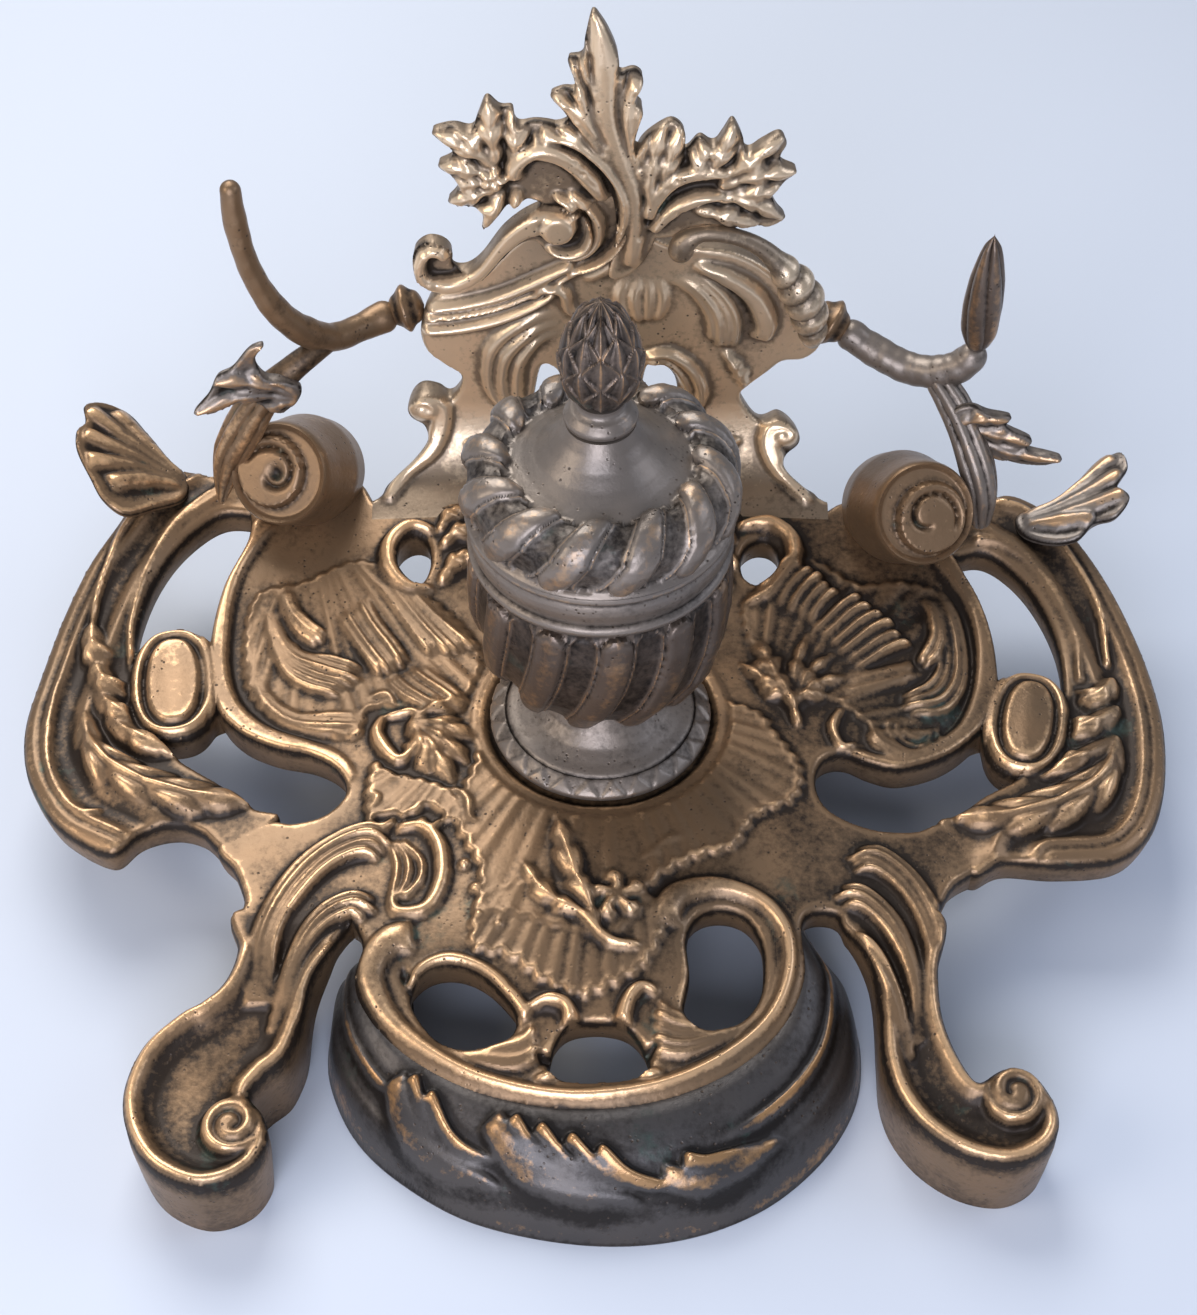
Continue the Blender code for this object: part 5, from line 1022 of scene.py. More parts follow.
# fluted C-scrolls round the windows, a ribbed arc beside the right one, and broken shell over it
plume(back, ((-8, 73), (-20, 71), (-31, 62), (-33, 48), (-28, 36)),
      ((-11, 63), (-16, 61), (-20, 54), (-21, 46), (-21, 38)), 3, 2.8, floor=1.0, tips=0.04,
      rise=(0.7, 1.0, 0.9))
for route, wide, high in (
        (((12, 57), (19, 58), (25.5, 52), (28, 43), (25, 34)), (1.2, 1.9, 2.1, 2.1, 1.2), 3.2),
        (((13, 54), (18, 55), (22.5, 50), (24.5, 43), (22, 36)), (0.8, 1.3, 1.4, 1.3, 0.8), 2.4)):
    ridge(back, route, wide, high)
plume(back, ((15, 84), (23, 79), (28, 71), (29, 61)), ((24, 87), (33, 80), (38, 70), (37, 58)), 4, 2.6,
      floor=0.8, tips=0.08, rise=(0.5, 1.0, 1.3))
plume(back, ((6, 85), (3, 77), (7, 69)), ((17, 84), (19, 76), (16, 68)), 4, 1.8, floor=0.5, tips=0.12)
for centre in ((-49, 38.5), (51.5, 29.5)):
    dome = np.hypot(back.u - centre[0], back.v - centre[1])
    swirl = np.arctan2(back.v - centre[1], back.u - centre[0])
    head = (3.6 * np.sqrt(np.clip(1 - (dome / 4.8) ** 4, 0, 1))
            - 0.9 * np.exp(-((dome - 1.2 - 3.2 * ((swirl / (2 * np.pi)) % 1)) / 0.5) ** 2))
    back.relief = np.where(dome < 4.8, np.maximum(back.relief, head), back.relief)
for route, widths in ((((34, 58), (38, 52), (40, 46)), (1, 2.4, 0.6)),
                      (((-24, 30), (-30, 26), (-38, 26)), (1, 2.6, 0.6)),
                      (((26, 30), (32, 26), (39, 27)), (1, 2.6, 0.6)),
                      (((-18, 28), (-10, 24), (0, 22)), (1, 3, 1)),
                      (((18, 28), (10, 24), (0, 22)), (1, 3, 1))):
    leaf(back, route, widths, (1.6, 3.0, 3.0, 1.6), lobes=4, cut=0.4)
back.relief = back.soften(back.relief, 0.45)
# the back grows lighter towards its top: painted light on its upright front, which faces the lights
cut_out("back_sheet", back, back_depth, back_face, back_behind, pale, ["back_plate"], round_over=1.4,
        rows=((0.0, 0.0), (0.3, 0.2), (0.75, 0.2), (1.0, -0.6)), flush=back.v < 5,
        rub=0.46 * ease(2, 34, back.v))

# Crest: a tall acanthus leaf between two sprays, over a scroll bar, all chased in high relief
# the crest stands 1.5 mm higher above the seat than the heights in its outlines
LIFT = SEAT + 1.5
CREST_FRONT = 85.0
CREST_REAR = 87.7


def up_from_seat(points):
    """The crest's places, measured from the seat, at their heights above the table."""
    return [(x, z + LIFT) for x, z in points]


CREST_LEAF = up_from_seat((
    (2, 76), (3.5, 86), (4, 96), (1.5, 106), (-4, 113), (-10, 119.5), (-11.5, 123), (-8, 125),
    (-9.5, 129), (-12.5, 132), (-9, 134), (-6, 134), (-6.5, 138), (-8, 142.5), (-4.5, 143.5),
    (-3.6, 149), (-2, 155.5), (0.5, 153), (3, 148), (4.5, 143), (4.5, 138.5), (8, 139.5), (10.5, 137),
    (8.5, 132), (10.5, 129), (9.5, 125), (8.5, 119), (10, 111), (14, 102), (15, 92), (12, 82),
    (7, 76)))
CREST_LEFT_SPRAY = up_from_seat((
    (-12, 99), (-19, 101), (-25, 98.5), (-29, 93), (-30.5, 92.5), (-30, 98), (-33, 98.5), (-39, 100),
    (-36.5, 104), (-36, 107), (-41, 111.5), (-37, 114.5), (-38, 118), (-42, 121.5), (-36.5, 123.5),
    (-32, 122.5), (-30.5, 126), (-28, 131.5), (-24.5, 128.5), (-21.5, 128.5), (-20.5, 124),
    (-16, 124.5), (-10.5, 123.5), (-2, 120), (4, 110), (2, 101)))
CREST_RIGHT_SPRAY = up_from_seat((
    (9, 90), (9, 103), (8, 112), (10, 119), (15.5, 124), (18.5, 124.5), (21, 121.5), (21, 116),
    (24.5, 120), (28, 118), (30, 121), (32.5, 125), (35, 121), (36.5, 116), (40, 118.5), (44.5, 121),
    (46.5, 117.5), (45, 113), (49.5, 110), (46.5, 106), (43.5, 103.5), (45, 99), (47.5, 95),
    (43, 92), (38, 93.5), (33, 91), (27, 92.5), (20, 89)))
CREST_BAR = up_from_seat((
    (-48.5, 79), (-48.5, 85), (-45, 88.5), (-41, 88), (-38.5, 85), (-38.5, 80), (-35, 79.5),
    (-31, 83), (-25, 92), (-18, 98), (-12, 99.5), (-5, 97), (-2, 90), (-5, 84), (-12, 82),
    (-17, 87.5), (-22, 85.5), (-28, 79.5), (-34, 73.5), (-41, 70.5), (-47, 73)))
crest = Wax((-66, 100), (66, 198), 0.4)
crest_depths = {name: crest.depth(points, 10.0) for name, points in (
    ("leaf", CREST_LEAF), ("left", CREST_LEFT_SPRAY), ("right", CREST_RIGHT_SPRAY), ("bar", CREST_BAR))}
# the sheet's plain ground, then the tall leaf: a broad middle lobe between side lobes that turn out
for route, widths, heights in (
        (((8, 80), (9, 94), (8, 106), (4, 118), (1.5, 130), (1, 143), (-1, 155)),
         (2, 3, 3.6, 4.4, 5.2, 4.6, 1.2), (2.6, 3.0, 3.4, 3.6, 3.8, 3.6, 1.8)),
        (((4, 110), (-1, 121), (-6, 128), (-11.5, 132.5)), (1.6, 2.6, 2.8, 1.0), (2.8, 4.0, 4.2, 2.4)),
        (((2, 119), (-3, 129), (-6, 137), (-6.5, 142)), (1.2, 2.2, 2.2, 0.8), (3.0, 3.8, 3.8, 2.2)),
        (((-1, 132), (-3.6, 140), (-4.4, 147)), (0.8, 1.4, 0.7), (3.6, 4.0, 2.6)),
        (((10, 98), (9, 112), (7.5, 124), (8, 132), (9.5, 138)), (1.2, 2.4, 2.6, 3.0, 2.4),
         (3.0, 3.8, 4.0, 4.6, 3.6)),
        (((9, 108), (10, 118), (10, 126), (9.5, 131)), (0.8, 1.8, 2.0, 1.0), (2.6, 3.6, 4.0, 2.6)),
        (((-2, 116), (-6, 121), (-11, 124)), (1.0, 2.2, 0.8), (2.6, 3.4, 2.0))):
    ridge(crest, up_from_seat(route), widths, heights)
for route in (((4.5, 141), (4.3, 128), (8, 114), (11, 101), (10.5, 90)),
              ((-2.5, 145), (-2.5, 130), (1, 119)), ((-8.5, 130), (-4, 125), (1, 117)),
              ((8.5, 135), (8, 124), (10, 112))):
    ridge(crest, up_from_seat(route), 0.9, -1.1, mode="add")
# vine leaf lobes on each side, each a small folded leaf that starts from a stem
LEFT_LOBES = (
    ((-26, 112), (-33, 118), (-41, 122)), ((-26, 113), (-27, 122), (-27.5, 132)),
    ((-27, 110), (-34, 112), (-40, 112)), ((-26, 106), (-32, 104), (-38, 101)),
    ((-25, 104), (-28, 99), (-29.5, 93)), ((-22, 113), (-21, 121), (-21, 128)),
    ((-17, 114), (-14.5, 119), (-11.5, 122.5)), ((-28, 114), (-34, 123), (-36, 122.5)),
    ((-27, 108), (-32, 108), (-37, 106)))
RIGHT_LOBES = (
    ((13, 101), (13, 113), (15.5, 124)), ((14, 103), (17, 114), (20, 122.5)),
    ((22, 108), (25, 114), (27.5, 119)), ((26, 108), (30, 116), (33, 124)),
    ((30, 108), (38, 115), (45, 120)), ((30, 106), (39, 110), (49, 110)),
    ((28, 103), (38, 102), (46, 96)), ((24, 99), (33, 97), (40, 93.5)), ((33, 110), (38, 114), (40, 118)),
    ((33, 104), (40, 105), (46, 104)))
for lobes in (LEFT_LOBES, RIGHT_LOBES):
    for route in lobes:
        leaf(crest, up_from_seat(route), (1.8, 3.6, 0.8), (2.0, 3.6, 2.0), lobes=3, cut=0.5, floor=0.3)
for route, widths in ((((12, 96), (14, 103), (19, 109), (26, 111), (33, 110)), (1.6, 2.6, 2.6, 2.2, 0.8)),
                      (((13, 92), (18, 99), (25, 103), (32, 104)), (1.2, 2.4, 2.2, 0.8)),
                      (((13, 98), (12.5, 108), (14, 117)), (1.0, 1.8, 0.7))):
    ridge(crest, up_from_seat(route), widths, 4.6)
    ridge(crest, up_from_seat(route), 0.6, -0.8, mode="add")
# arch leaf that comes over the bar's head, the bright stem round it, the flower and its drops
for route, widths, heights in (
        (((-22, 108), (-21, 113.5), (-16, 117.5), (-9, 115.5), (-3, 109), (1, 101)),
         (2.4, 2.8, 3.0, 3.2, 3.0, 1.2), (4.4, 4.8, 5.0, 4.8, 4.2, 2.4)),
        (((-15, 121), (-7, 120), (0, 114), (4.6, 106), (6, 98), (4, 89), (-1, 83), (-7, 80)),
         (0.8, 1.6, 1.4, 1.1, 1.0, 1.0, 1.0, 0.8), (2.6, 4.4, 4.8, 5.0, 5.0, 4.8, 4.4, 3.2)),
        (((-8, 104), (-4, 100), (-1.5, 93), (-4, 86.5), (-9, 84.5), (-14, 86)),
         (0.8, 1.6, 1.8, 1.8, 1.6, 0.8), (2.4, 3.4, 3.6, 3.6, 3.4, 2.6)),
        (((-12, 103), (-8, 101), (-5.5, 96)), (1.0, 1.6, 0.8), (3.0, 4.2, 3.0)),
        (((-21, 105), (-22, 98.5)), (1.0, 1.9, 0.9), 3.8),
        (((-26, 103), (-27.5, 96)), (1.0, 1.9, 0.9), 3.8)):
    ridge(crest, up_from_seat(route), widths, heights)
for route in (((-20, 110), (-16, 114.5), (-9, 112.5), (-3, 106)),
              ((-19, 113), (-14, 117), (-7, 114), (-1, 107))):
    ridge(crest, up_from_seat(route), 0.5, -0.8, mode="add")
for number in range(5):
    angle = math.radians(72 * number)
    tip = (-27 + 4 * math.cos(angle), 109 + 4 * math.sin(angle))
    ridge(crest, up_from_seat(((-27, 109), tip)), (1.0, 1.7), (5.0, 4.2))
# the bar: a flat band from a small volute up to a round flat head
ridge(crest, up_from_seat(((-45, 75), (-38, 75.5), (-32, 79.5), (-26, 88), (-19, 94.5), (-12, 95))),
      (2.4, 2.4, 2.6, 3.0, 3.6, 4.2), 4.2, flat_form)
ridge(crest, up_from_seat(((-42, 75), (-46, 76.5), (-47.3, 81), (-45, 86), (-41.5, 86), (-40.5, 83))),
      (2.0, 2.0, 1.9, 1.9, 1.9, 1.6), 4.0, flat_form)
dome = np.hypot(crest.u + 11, crest.v - 94 - LIFT)
crest.relief = np.where(dome < 6, np.maximum(crest.relief * (dome > 5),
                                             4.8 * np.clip(1 - (dome / 5) ** 8, 0, 1) ** 0.5),
                        crest.relief)
crest.relief = crest.soften(crest.relief, 0.4)


def crest_face(u, v, height):
    return np.stack([u, CREST_FRONT - height, v], axis=1)


def crest_behind(u, v):
    return np.stack([u, CREST_REAR + 0 * u, v], axis=1)


# the crest's sheet faces the front, so its second axis runs up and its relief comes forward
crest_owner = np.full(crest.u.shape, "", dtype=object)
# first the cells that an outline only crosses, then over them the cells inside one
for reach in (-0.9, -0.1):
    for name in ("right", "left", "bar", "leaf"):
        crest_owner[crest_depths[name] > reach] = name
crest_all = np.max(list(crest_depths.values()), axis=0)
# the crest takes the paler bronze with its wear value raised: partly rubbed high relief, partly painted
# light
for key, name, nodes in (("leaf", "crest_tall_leaf", ["crest_leaf"]),
                         ("left", "crest_vine_left", ["crest_left_spray"]),
                         ("right", "crest_vine_right", ["crest_right_spray"]),
                         ("bar", "crest_bar_scroll", ["crest_scroll_bar"])):
    cut_out(name, crest, crest_all, crest_face, crest_behind, pale, nodes, keep=crest_owner == key,
            round_over=1.2, rows=((0.0, 0.0), (0.5, 0.0), (1.0, -0.3)), rub=0.30)


# Arc scroll: a round band that curls over the right shoulder and ends in a ribbed leaf
def quads_between(lower, upper):
    """Faces between rings of places and the next rings up."""
    return np.stack([lower, np.roll(lower, -1, axis=1), np.roll(upper, -1, axis=1), upper],
                    axis=-1).reshape(-1, 4)


def tube(name, points, radii, material, nodes, steps=40, push=None, wear_and_painted_light=0.45):
    """A closed bar of changing radius through places in space; push(turn, share, radius) swells it."""
    line = smooth_line(points, spacing=CELL)
    run = np.gradient(line, axis=0)
    run /= np.linalg.norm(run, axis=1)[:, None]
    side = np.cross(run[0], (0.0, 0.0, 1.0))
    if np.linalg.norm(side) < 0.1:
        side = np.cross(run[0], (0.0, 1.0, 0.0))
    sides = []
    for direction in run:
        side = side - direction * (side @ direction)
        side = side / np.linalg.norm(side)
        sides.append(side)
    sides = np.array(sides)
    ups = np.cross(sides, run)
    shares = np.linspace(0, 1, len(line))
    radius = np.interp(shares, np.linspace(0, 1, len(radii)), radii)
    # both ends close in a quarter round
    from_end = np.minimum(np.arange(len(line)), np.arange(len(line))[::-1]) * CELL
    radius = radius * np.sqrt(np.clip(1 - (1 - np.clip(from_end / radius, 0, 1)) ** 2, 0.0004, 1))
    angles = np.linspace(0, 2 * np.pi, steps, endpoint=False)
    turn, share = np.meshgrid(angles, shares)
    swell = push(turn, share, radius[:, None]) if push else 0 * turn
    reach = radius[:, None] + swell * np.clip(radius[:, None] / max(radii), 0, 1)
    places = (line[:, None, :] + reach[..., None]
              * (np.cos(turn)[..., None] * sides[:, None, :] + np.sin(turn)[..., None] * ups[:, None, :]))
    index = np.arange(len(line) * steps).reshape(len(line), steps)
    ends = len(line) * steps
    fans = [np.stack([np.full(steps, ends), np.roll(index[0], -1), index[0]], axis=1),
            np.stack([np.full(steps, ends + 1), index[-1], np.roll(index[-1], -1)], axis=1)]
    places = np.concatenate([places.reshape(-1, 3), line[[0, -1]]])
    worn = wear_and_painted_light + 0.45 * (swell - swell.mean())
    worn = np.concatenate([np.clip(worn, 0, 1).ravel(), [wear_and_painted_light, wear_and_painted_light]])
    return closed_mesh(name, places, [quads_between(index[:-1], index[1:]), *fans], worn, material, nodes)


def knots(count, size, seed=0.0):
    """The uneven swelling of a modelled stem: how often it comes along the stem, and how high."""
    def swelling(turn, share, radius):
        slow = np.sin(6.28 * count * share + seed) * np.sin(turn * 2 + 4 * share + seed)
        fine = np.sin(6.28 * count * 2.7 * share + 2 * seed + turn) * 0.5
        return size * (slow + fine)
    return swelling


ARC = [(20.5, 84.0, 82), (21.5, 83.5, 87.5), (26, 83.5, 90.5), (34, 84, 89.5), (42, 84.5, 85),
       (49, 84.5, 77), (54, 84.5, 68), (56.5, 84.5, 59), (57.5, 84.5, 52)]


def ribbed_end(turn, share, radius):
    """Rolls that run round the lower half, as a folded leaf."""
    roll_share = np.clip((share - 0.52) / 0.46, 0, 1)
    rolls = np.abs(np.sin(5 * np.pi * roll_share + 0.5 * np.sin(turn))) ** 0.6
    return 1.5 * ease(0.5, 0.58, share) * (rolls - 0.6)


tube("crest_arc_band", [(x, y, z + LIFT + 1) for x, y, z in ARC],
     (3.6, 3.3, 2.2, 2.2, 2.2, 2.4, 2.8, 4.0, 5.0, 5.2, 4.8, 3.8, 2.0),
     pale, ["crest_arc_scroll"], push=ribbed_end, steps=64, wear_and_painted_light=0.62)

# Volutes: rolled ends of the back's shoulders, each a drum with a spiral face
# the drum's radius
DRUM = 14.5
# a side's name, its place, how many radii it stands up, the way it faces and its hand
VOLUTES = (("left", (-84.8, 70.6), 0.95, (-0.25, -0.70, 0.60), 1),
           ("right", (85, 57), 1.05, (0.20, -0.75, 0.60), -1))


def turned(name, profile, steps, material, nodes, body="root", push=None, at=(0, 0, 0), facing=(0, 0, 1),
           wear_and_painted_light=0.42, ring=False, spacing=0.6):
    """A profile of (radius, height) turned about an axis, with its ends closed, or as a ring.

    push takes (turn, radius, height, outward) to how far the surface swells, and to its wear value, which
    in the hollows is also painted shade.
    """
    profile = np.array(profile, float)
    if ring:
        profile = np.concatenate([profile, profile[:1]])
    rows = [profile[:1]]
    for start, end in zip(profile[:-1], profile[1:]):
        count = max(1, int(np.linalg.norm(end - start) / spacing))
        rows.append(start + (end - start) * np.linspace(0, 1, count + 1)[1:, None])
    rows = np.concatenate(rows)
    if ring:
        rows = rows[:-1]
    run = np.roll(rows, -1, axis=0) - np.roll(rows, 1, axis=0)
    if not ring:
        run[0], run[-1] = rows[1] - rows[0], rows[-1] - rows[-2]
    run /= np.maximum(np.linalg.norm(run, axis=1), 1e-9)[:, None]
    out = np.stack([run[:, 1], -run[:, 0]], axis=1)
    angles = np.linspace(0, 2 * np.pi, steps, endpoint=False)
    turn, row = np.meshgrid(angles, np.arange(len(rows)))
    radius, high = rows[row, 0], rows[row, 1]
    if push:
        swell, worn = push(turn, radius, high, out[row, 0])
    else:
        swell, worn = 0 * turn, wear_and_painted_light + 0 * turn
    radius = np.maximum(radius + swell * out[row, 0], 0)
    high = high + swell * out[row, 1]
    axis = np.array(facing, float) / np.linalg.norm(facing)
    side = np.cross((0.0, 1.0, 0.0), axis)
    side = np.array((1.0, 0.0, 0.0)) if np.linalg.norm(side) < 1e-6 else side / np.linalg.norm(side)
    other = np.cross(axis, side)
    places = (np.array(at, float) + radius[..., None] * (np.cos(turn)[..., None] * side
              + np.sin(turn)[..., None] * other) + high[..., None] * axis)
    index = np.arange(len(rows) * steps).reshape(len(rows), steps)
    if ring:
        return closed_mesh(name, places.reshape(-1, 3), [quads_between(index, np.roll(index, -1, axis=0))],
                           np.clip(worn, 0, 1).ravel(), material, nodes, body)
    inner = index[1:-1]
    quads = quads_between(inner[:-1], inner[1:])
    first, last = np.full(steps, index[0, 0]), np.full(steps, index[-1, 0])
    fans = [np.stack([first, np.roll(inner[0], -1), inner[0]], 1),
            np.stack([last, inner[-1], np.roll(inner[-1], -1)], 1)]
    used = np.concatenate([[index[0, 0]], inner.ravel(), [index[-1, 0]]])
    number = np.full(index.size, -1)
    number[used] = np.arange(len(used))
    return closed_mesh(name, places.reshape(-1, 3)[used], [number[faces] for faces in (quads, *fans)],
                       np.clip(worn, 0, 1).ravel()[used], material, nodes, body)


def rounded(points, size):
    """A profile with its inner corners eased."""
    points = [np.array(point, float) for point in points]
    made = [points[0]]
    for before, corner, after in zip(points, points[1:], points[2:]):
        near = [corner + (other - corner) * min(0.45, size / max(np.linalg.norm(other - corner), 1e-6))
                for other in (before, after)]
        made += [near[0], (near[0] + near[1] + 2 * corner) / 4, near[1]]
    return [tuple(point) for point in made + [points[-1]]]


for side, place, lift, facing, hand in VOLUTES:
    middle = (*place, float(deck_face(*place)) + lift * DRUM)
    toward = math.radians(150 if hand > 0 else -20)

    def rolled_face(turn, radius, high, outward):
        # a raised roll off the middle of the drum, with a curl cut into it and a fine raised rim
        on_face = (outward < 0.5) & (high > 5)
        roll_edge = 9.4 + 2.2 * np.cos(turn - toward)
        raised = 1 - ease(-0.6, 0.6, radius - roll_edge)
        wind = (hand * (turn - toward) / (2 * np.pi)) % 1
        curl = radius - roll_edge * (0.26 + 0.56 * wind)
        cut = np.exp(-(curl / 0.75) ** 2) * ease(0.02, 0.2, wind) * (1 - ease(0.94, 1, wind))
        eye = np.exp(-(radius / 2.0) ** 2) * (hand > 0)
        rim = np.exp(-((radius - 13.3) / 0.7) ** 2)
        swell = 2.6 * raised - 1.6 - 1.5 * cut * raised - 1.8 * eye + 1.6 * rim
        swell = np.where(on_face, swell * (1 - ease(13.9, DRUM, radius)), 0)
        fold = np.exp(-((radius - roll_edge - 0.9) / 0.9) ** 2)
        worn = (0.50 - 0.30 * cut * on_face - 0.45 * eye * on_face + 0.22 * rim * on_face
                - 0.25 * fold * on_face)
        return swell, worn
    turned(f"{side}_volute_drum", rounded([(0, -24), (9, -24), (14.5, -17), (15.8, -8), (14.6, 2),
                                           (14.2, 9.5), (13.6, 11.6), (6, 11.8), (0, 12.2)], 1.0), 240,
           golden, [f"{side}_volute"], push=rolled_face, at=middle, facing=facing, spacing=0.5)

# Ears: shells with pointed lobes that stand out behind the arms
EARS = (
    ("left", ((-117, 72), (-124, 66), (-131, 60), (-137, 62), (-141, 68), (-145, 75), (-146, 82),
              (-144.5, 87), (-145.5, 93), (-141, 98), (-134, 98), (-128, 91), (-122, 84), (-117, 80)),
     (-117, 78), 0.22, (((-118, 76), (-127, 74), (-136, 68)), ((-118, 77), (-130, 77), (-142, 73)),
                        ((-118, 78), (-131, 81), (-144, 82)), ((-118, 79), (-130, 85), (-144, 92)),
                        ((-118, 80), (-128, 87), (-138, 96)))),
    ("right", ((117, 60), (124, 54.5), (131, 53), (136, 56.5), (141, 55.5), (145, 60), (142.5, 65.5),
               (146, 71), (145, 78), (139, 77.5), (133, 72), (126, 68), (117, 67)),
     (117, 66), 0.16, (((118, 62), (128, 60), (136, 58)), ((118, 63), (131, 62), (144, 62)),
                       ((118, 64), (131, 66), (144, 70)), ((118, 65), (130, 69), (143, 77)))))
for side, outline, seat_place, slope, flutes in EARS:
    points = np.array(outline, float)
    shell = Wax(tuple(points.min(axis=0) - 3), tuple(points.max(axis=0) + 3), 0.4)
    shell_depth = shell.depth(outline)
    for flute in flutes:
        ridge(shell, flute, (1.5, 3.4, 3.0), (1.4, 3.0, 2.4))
        ridge(shell, flute, 0.4, 0.5, mode="add")
    shell.relief = shell.soften(shell.relief, 0.4)
    level = float(deck_face(*seat_place))

    def ear_height(u):
        away = np.abs(u) - abs(seat_place[0])
        return level + slope * away + 0.012 * np.clip(away, 0, None) ** 2

    def ear_face(u, v, height):
        return np.stack([u, v, ear_height(u) + 2.0 + height], axis=1)

    def ear_back(u, v):
        return np.stack([u, v, ear_height(u) - 0.5], axis=1)
    cut_out(f"{side}_ear_leaf", shell, shell_depth, ear_face, ear_back, golden if side == "left" else brown,
            [f"{side}_ear_shell"], round_over=1.2, rows=((0.0, 0.0), (0.5, 0.1), (1.0, -0.4)))


# Branches: cast stems with knots that held the pens, each with a leaf that curls to the tray
def in_space(points):
    """Places with heights from the seat, at their heights above the table."""
    return [(x, y, z + SEAT) for x, y, z in points]


def collar_rings(turn, share, radius):
    return 0.5 * np.sin(share * 15)


def left_folds(turn, share, radius):
    """Seven folds that wind round the drop, from a fifth of the way down."""
    return np.abs(np.sin(turn * 3.5 + 2 * share)) ** 0.7 * ease(0.2, 0.5, share) - 0.5


def right_folds(turn, share, radius):
    """Seven folds that wind round the curl the other way."""
    return np.abs(np.sin(turn * 3.5 - 2 * share)) ** 0.7 - 0.5


tube("left_collar_socket", in_space(((-47.5, 92, 63), (-52, 91.5, 62.2), (-57, 91, 61))),
     (5.2, 6.2, 6.4, 5.6), golden, ["left_branch_collar"], push=collar_rings, steps=48)
tube("left_stem_bar", in_space(((-55, 91.5, 61.4), (-63, 87, 60), (-71, 79, 62.5), (-78, 73, 70),
                                (-84, 70, 80), (-88.5, 69, 93), (-90.5, 69, 107), (-90.8, 70, 119.4))),
     (4.6, 3.8, 3.8, 4.0, 3.6, 3.1, 2.9, 3.0, 2.6), golden, ["left_branch_stem"], push=knots(5, 0.12),
     steps=40)
tube("left_drop_bar", in_space(((-70, 80, 62.5), (-76, 74, 61.5), (-82, 71, 58), (-90, 70, 50),
                                (-96, 69, 40), (-102, 69, 27), (-106, 69, 11.5))),
     (3.0, 3.6, 4.2, 4.8, 5.2, 4.8, 3.2, 1.0), golden, ["left_branch_drop"],
     push=left_folds, steps=72)
tube("right_collar_socket", in_space(((57.5, 93, 60), (62, 91.5, 57.5), (67, 90, 55))),
     (5.2, 6.2, 6.4, 5.4), golden, ["right_branch_collar"], push=collar_rings, steps=48)
tube("right_stem_bar", in_space(((65, 91, 56), (74, 87, 51.5), (84, 82, 49), (93, 78, 51.5),
                                 (98.5, 77, 56.5), (99.8, 77, 61.5))),
     (4.8, 4.2, 4.5, 4.3, 4.6, 4.4, 3.8), brown, ["right_branch_stem"], push=knots(4, 0.14, 2.0), steps=40)
tube("right_curl_bar", in_space(((90, 79, 50.5), (95.5, 73, 44), (100, 66, 36), (103.5, 60, 26),
                                 (104.8, 57.5, 12.5))),
     (3.4, 4.2, 4.4, 4.6, 4.0, 2.2), brown, ["right_branch_curl"],
     push=right_folds, steps=72)

BRANCH_LEAVES = (
    ("left", 68.0, ((-79, 56), (-84, 59.5), (-88, 61), (-90, 66.5), (-87, 71), (-91, 70.5), (-96, 65),
                    (-100, 63.5), (-102.5, 58.5), (-107, 53.5), (-101, 52.5), (-95, 54), (-90, 50.5),
                    (-85, 47), (-81, 51)),
     (((-80, 54), (-86, 62), (-88, 70)), ((-80, 54), (-91, 60), (-101, 62)),
      ((-80, 53), (-93, 56), (-106, 53.5)), ((-80, 52), (-85, 52), (-88, 49)))),
    ("right", 70.0, ((94, 44), (99, 48), (104, 46.5), (110, 46), (109, 42.5), (116, 40), (115, 36.5),
                     (124, 37), (120, 32), (112, 30), (104, 32.5), (97, 33)),
     (((96, 42), (102, 45), (109, 45)), ((97, 41), (107, 40), (116, 38.5)),
      ((98, 39), (110, 35), (123, 36)), ((97, 38), (103, 34.5), (110, 31)))))
for side, ahead, outline, lobes in BRANCH_LEAVES:
    points = np.array(outline, float)
    blade = Wax(tuple(points.min(axis=0) - 2), tuple(points.max(axis=0) + 2), 0.35)
    blade_depth = blade.depth(outline)
    for route in lobes:
        leaf(blade, route, (1.8, 3.4, 0.7), (1.6, 2.6, 1.6), lobes=3, cut=0.3)
    blade.relief = blade.soften(blade.relief, 0.4)
    root_x = abs(outline[0][0])

    def blade_depth_at(u):
        return ahead - 0.010 * np.clip(np.abs(u) - root_x, 0, None) ** 2

    def blade_face(u, v, height):
        return np.stack([u, blade_depth_at(u) - 2.0 - height, v + SEAT], axis=1)

    def blade_back(u, v):
        return np.stack([u, blade_depth_at(u), v + SEAT], axis=1)
    cut_out(f"{side}_branch_blade", blade, blade_depth, blade_face, blade_back, brown,
            [f"{side}_branch_leaf"], round_over=0.9, rows=((0.0, 0.0), (0.5, 0.1), (1.0, -0.3)))


def bud_petals(turn, radius, high, outward):
    """Five closed petals."""
    petal = np.abs(np.sin(turn * 2.5 + high * 0.05))
    return 0.9 * petal ** 0.7 * ease(0, 8, high) * (1 - ease(33, 38, high)) - 0.4, 0.25 + 0.45 * petal


turned("right_bud", rounded([(0, 0), (3.2, 0.4), (4.5, 6), (4.9, 14), (4.2, 23), (2.6, 31), (0.8, 36.5),
                             (0, 38)], 2),
       120, dark, ["right_branch_bud"], push=bud_petals, at=(100, 77, SEAT + 60.3))

# Urn foot: a turned hollow foot with a leaf border, chased, on the tray's round seat
URN = SEAT + SEAM


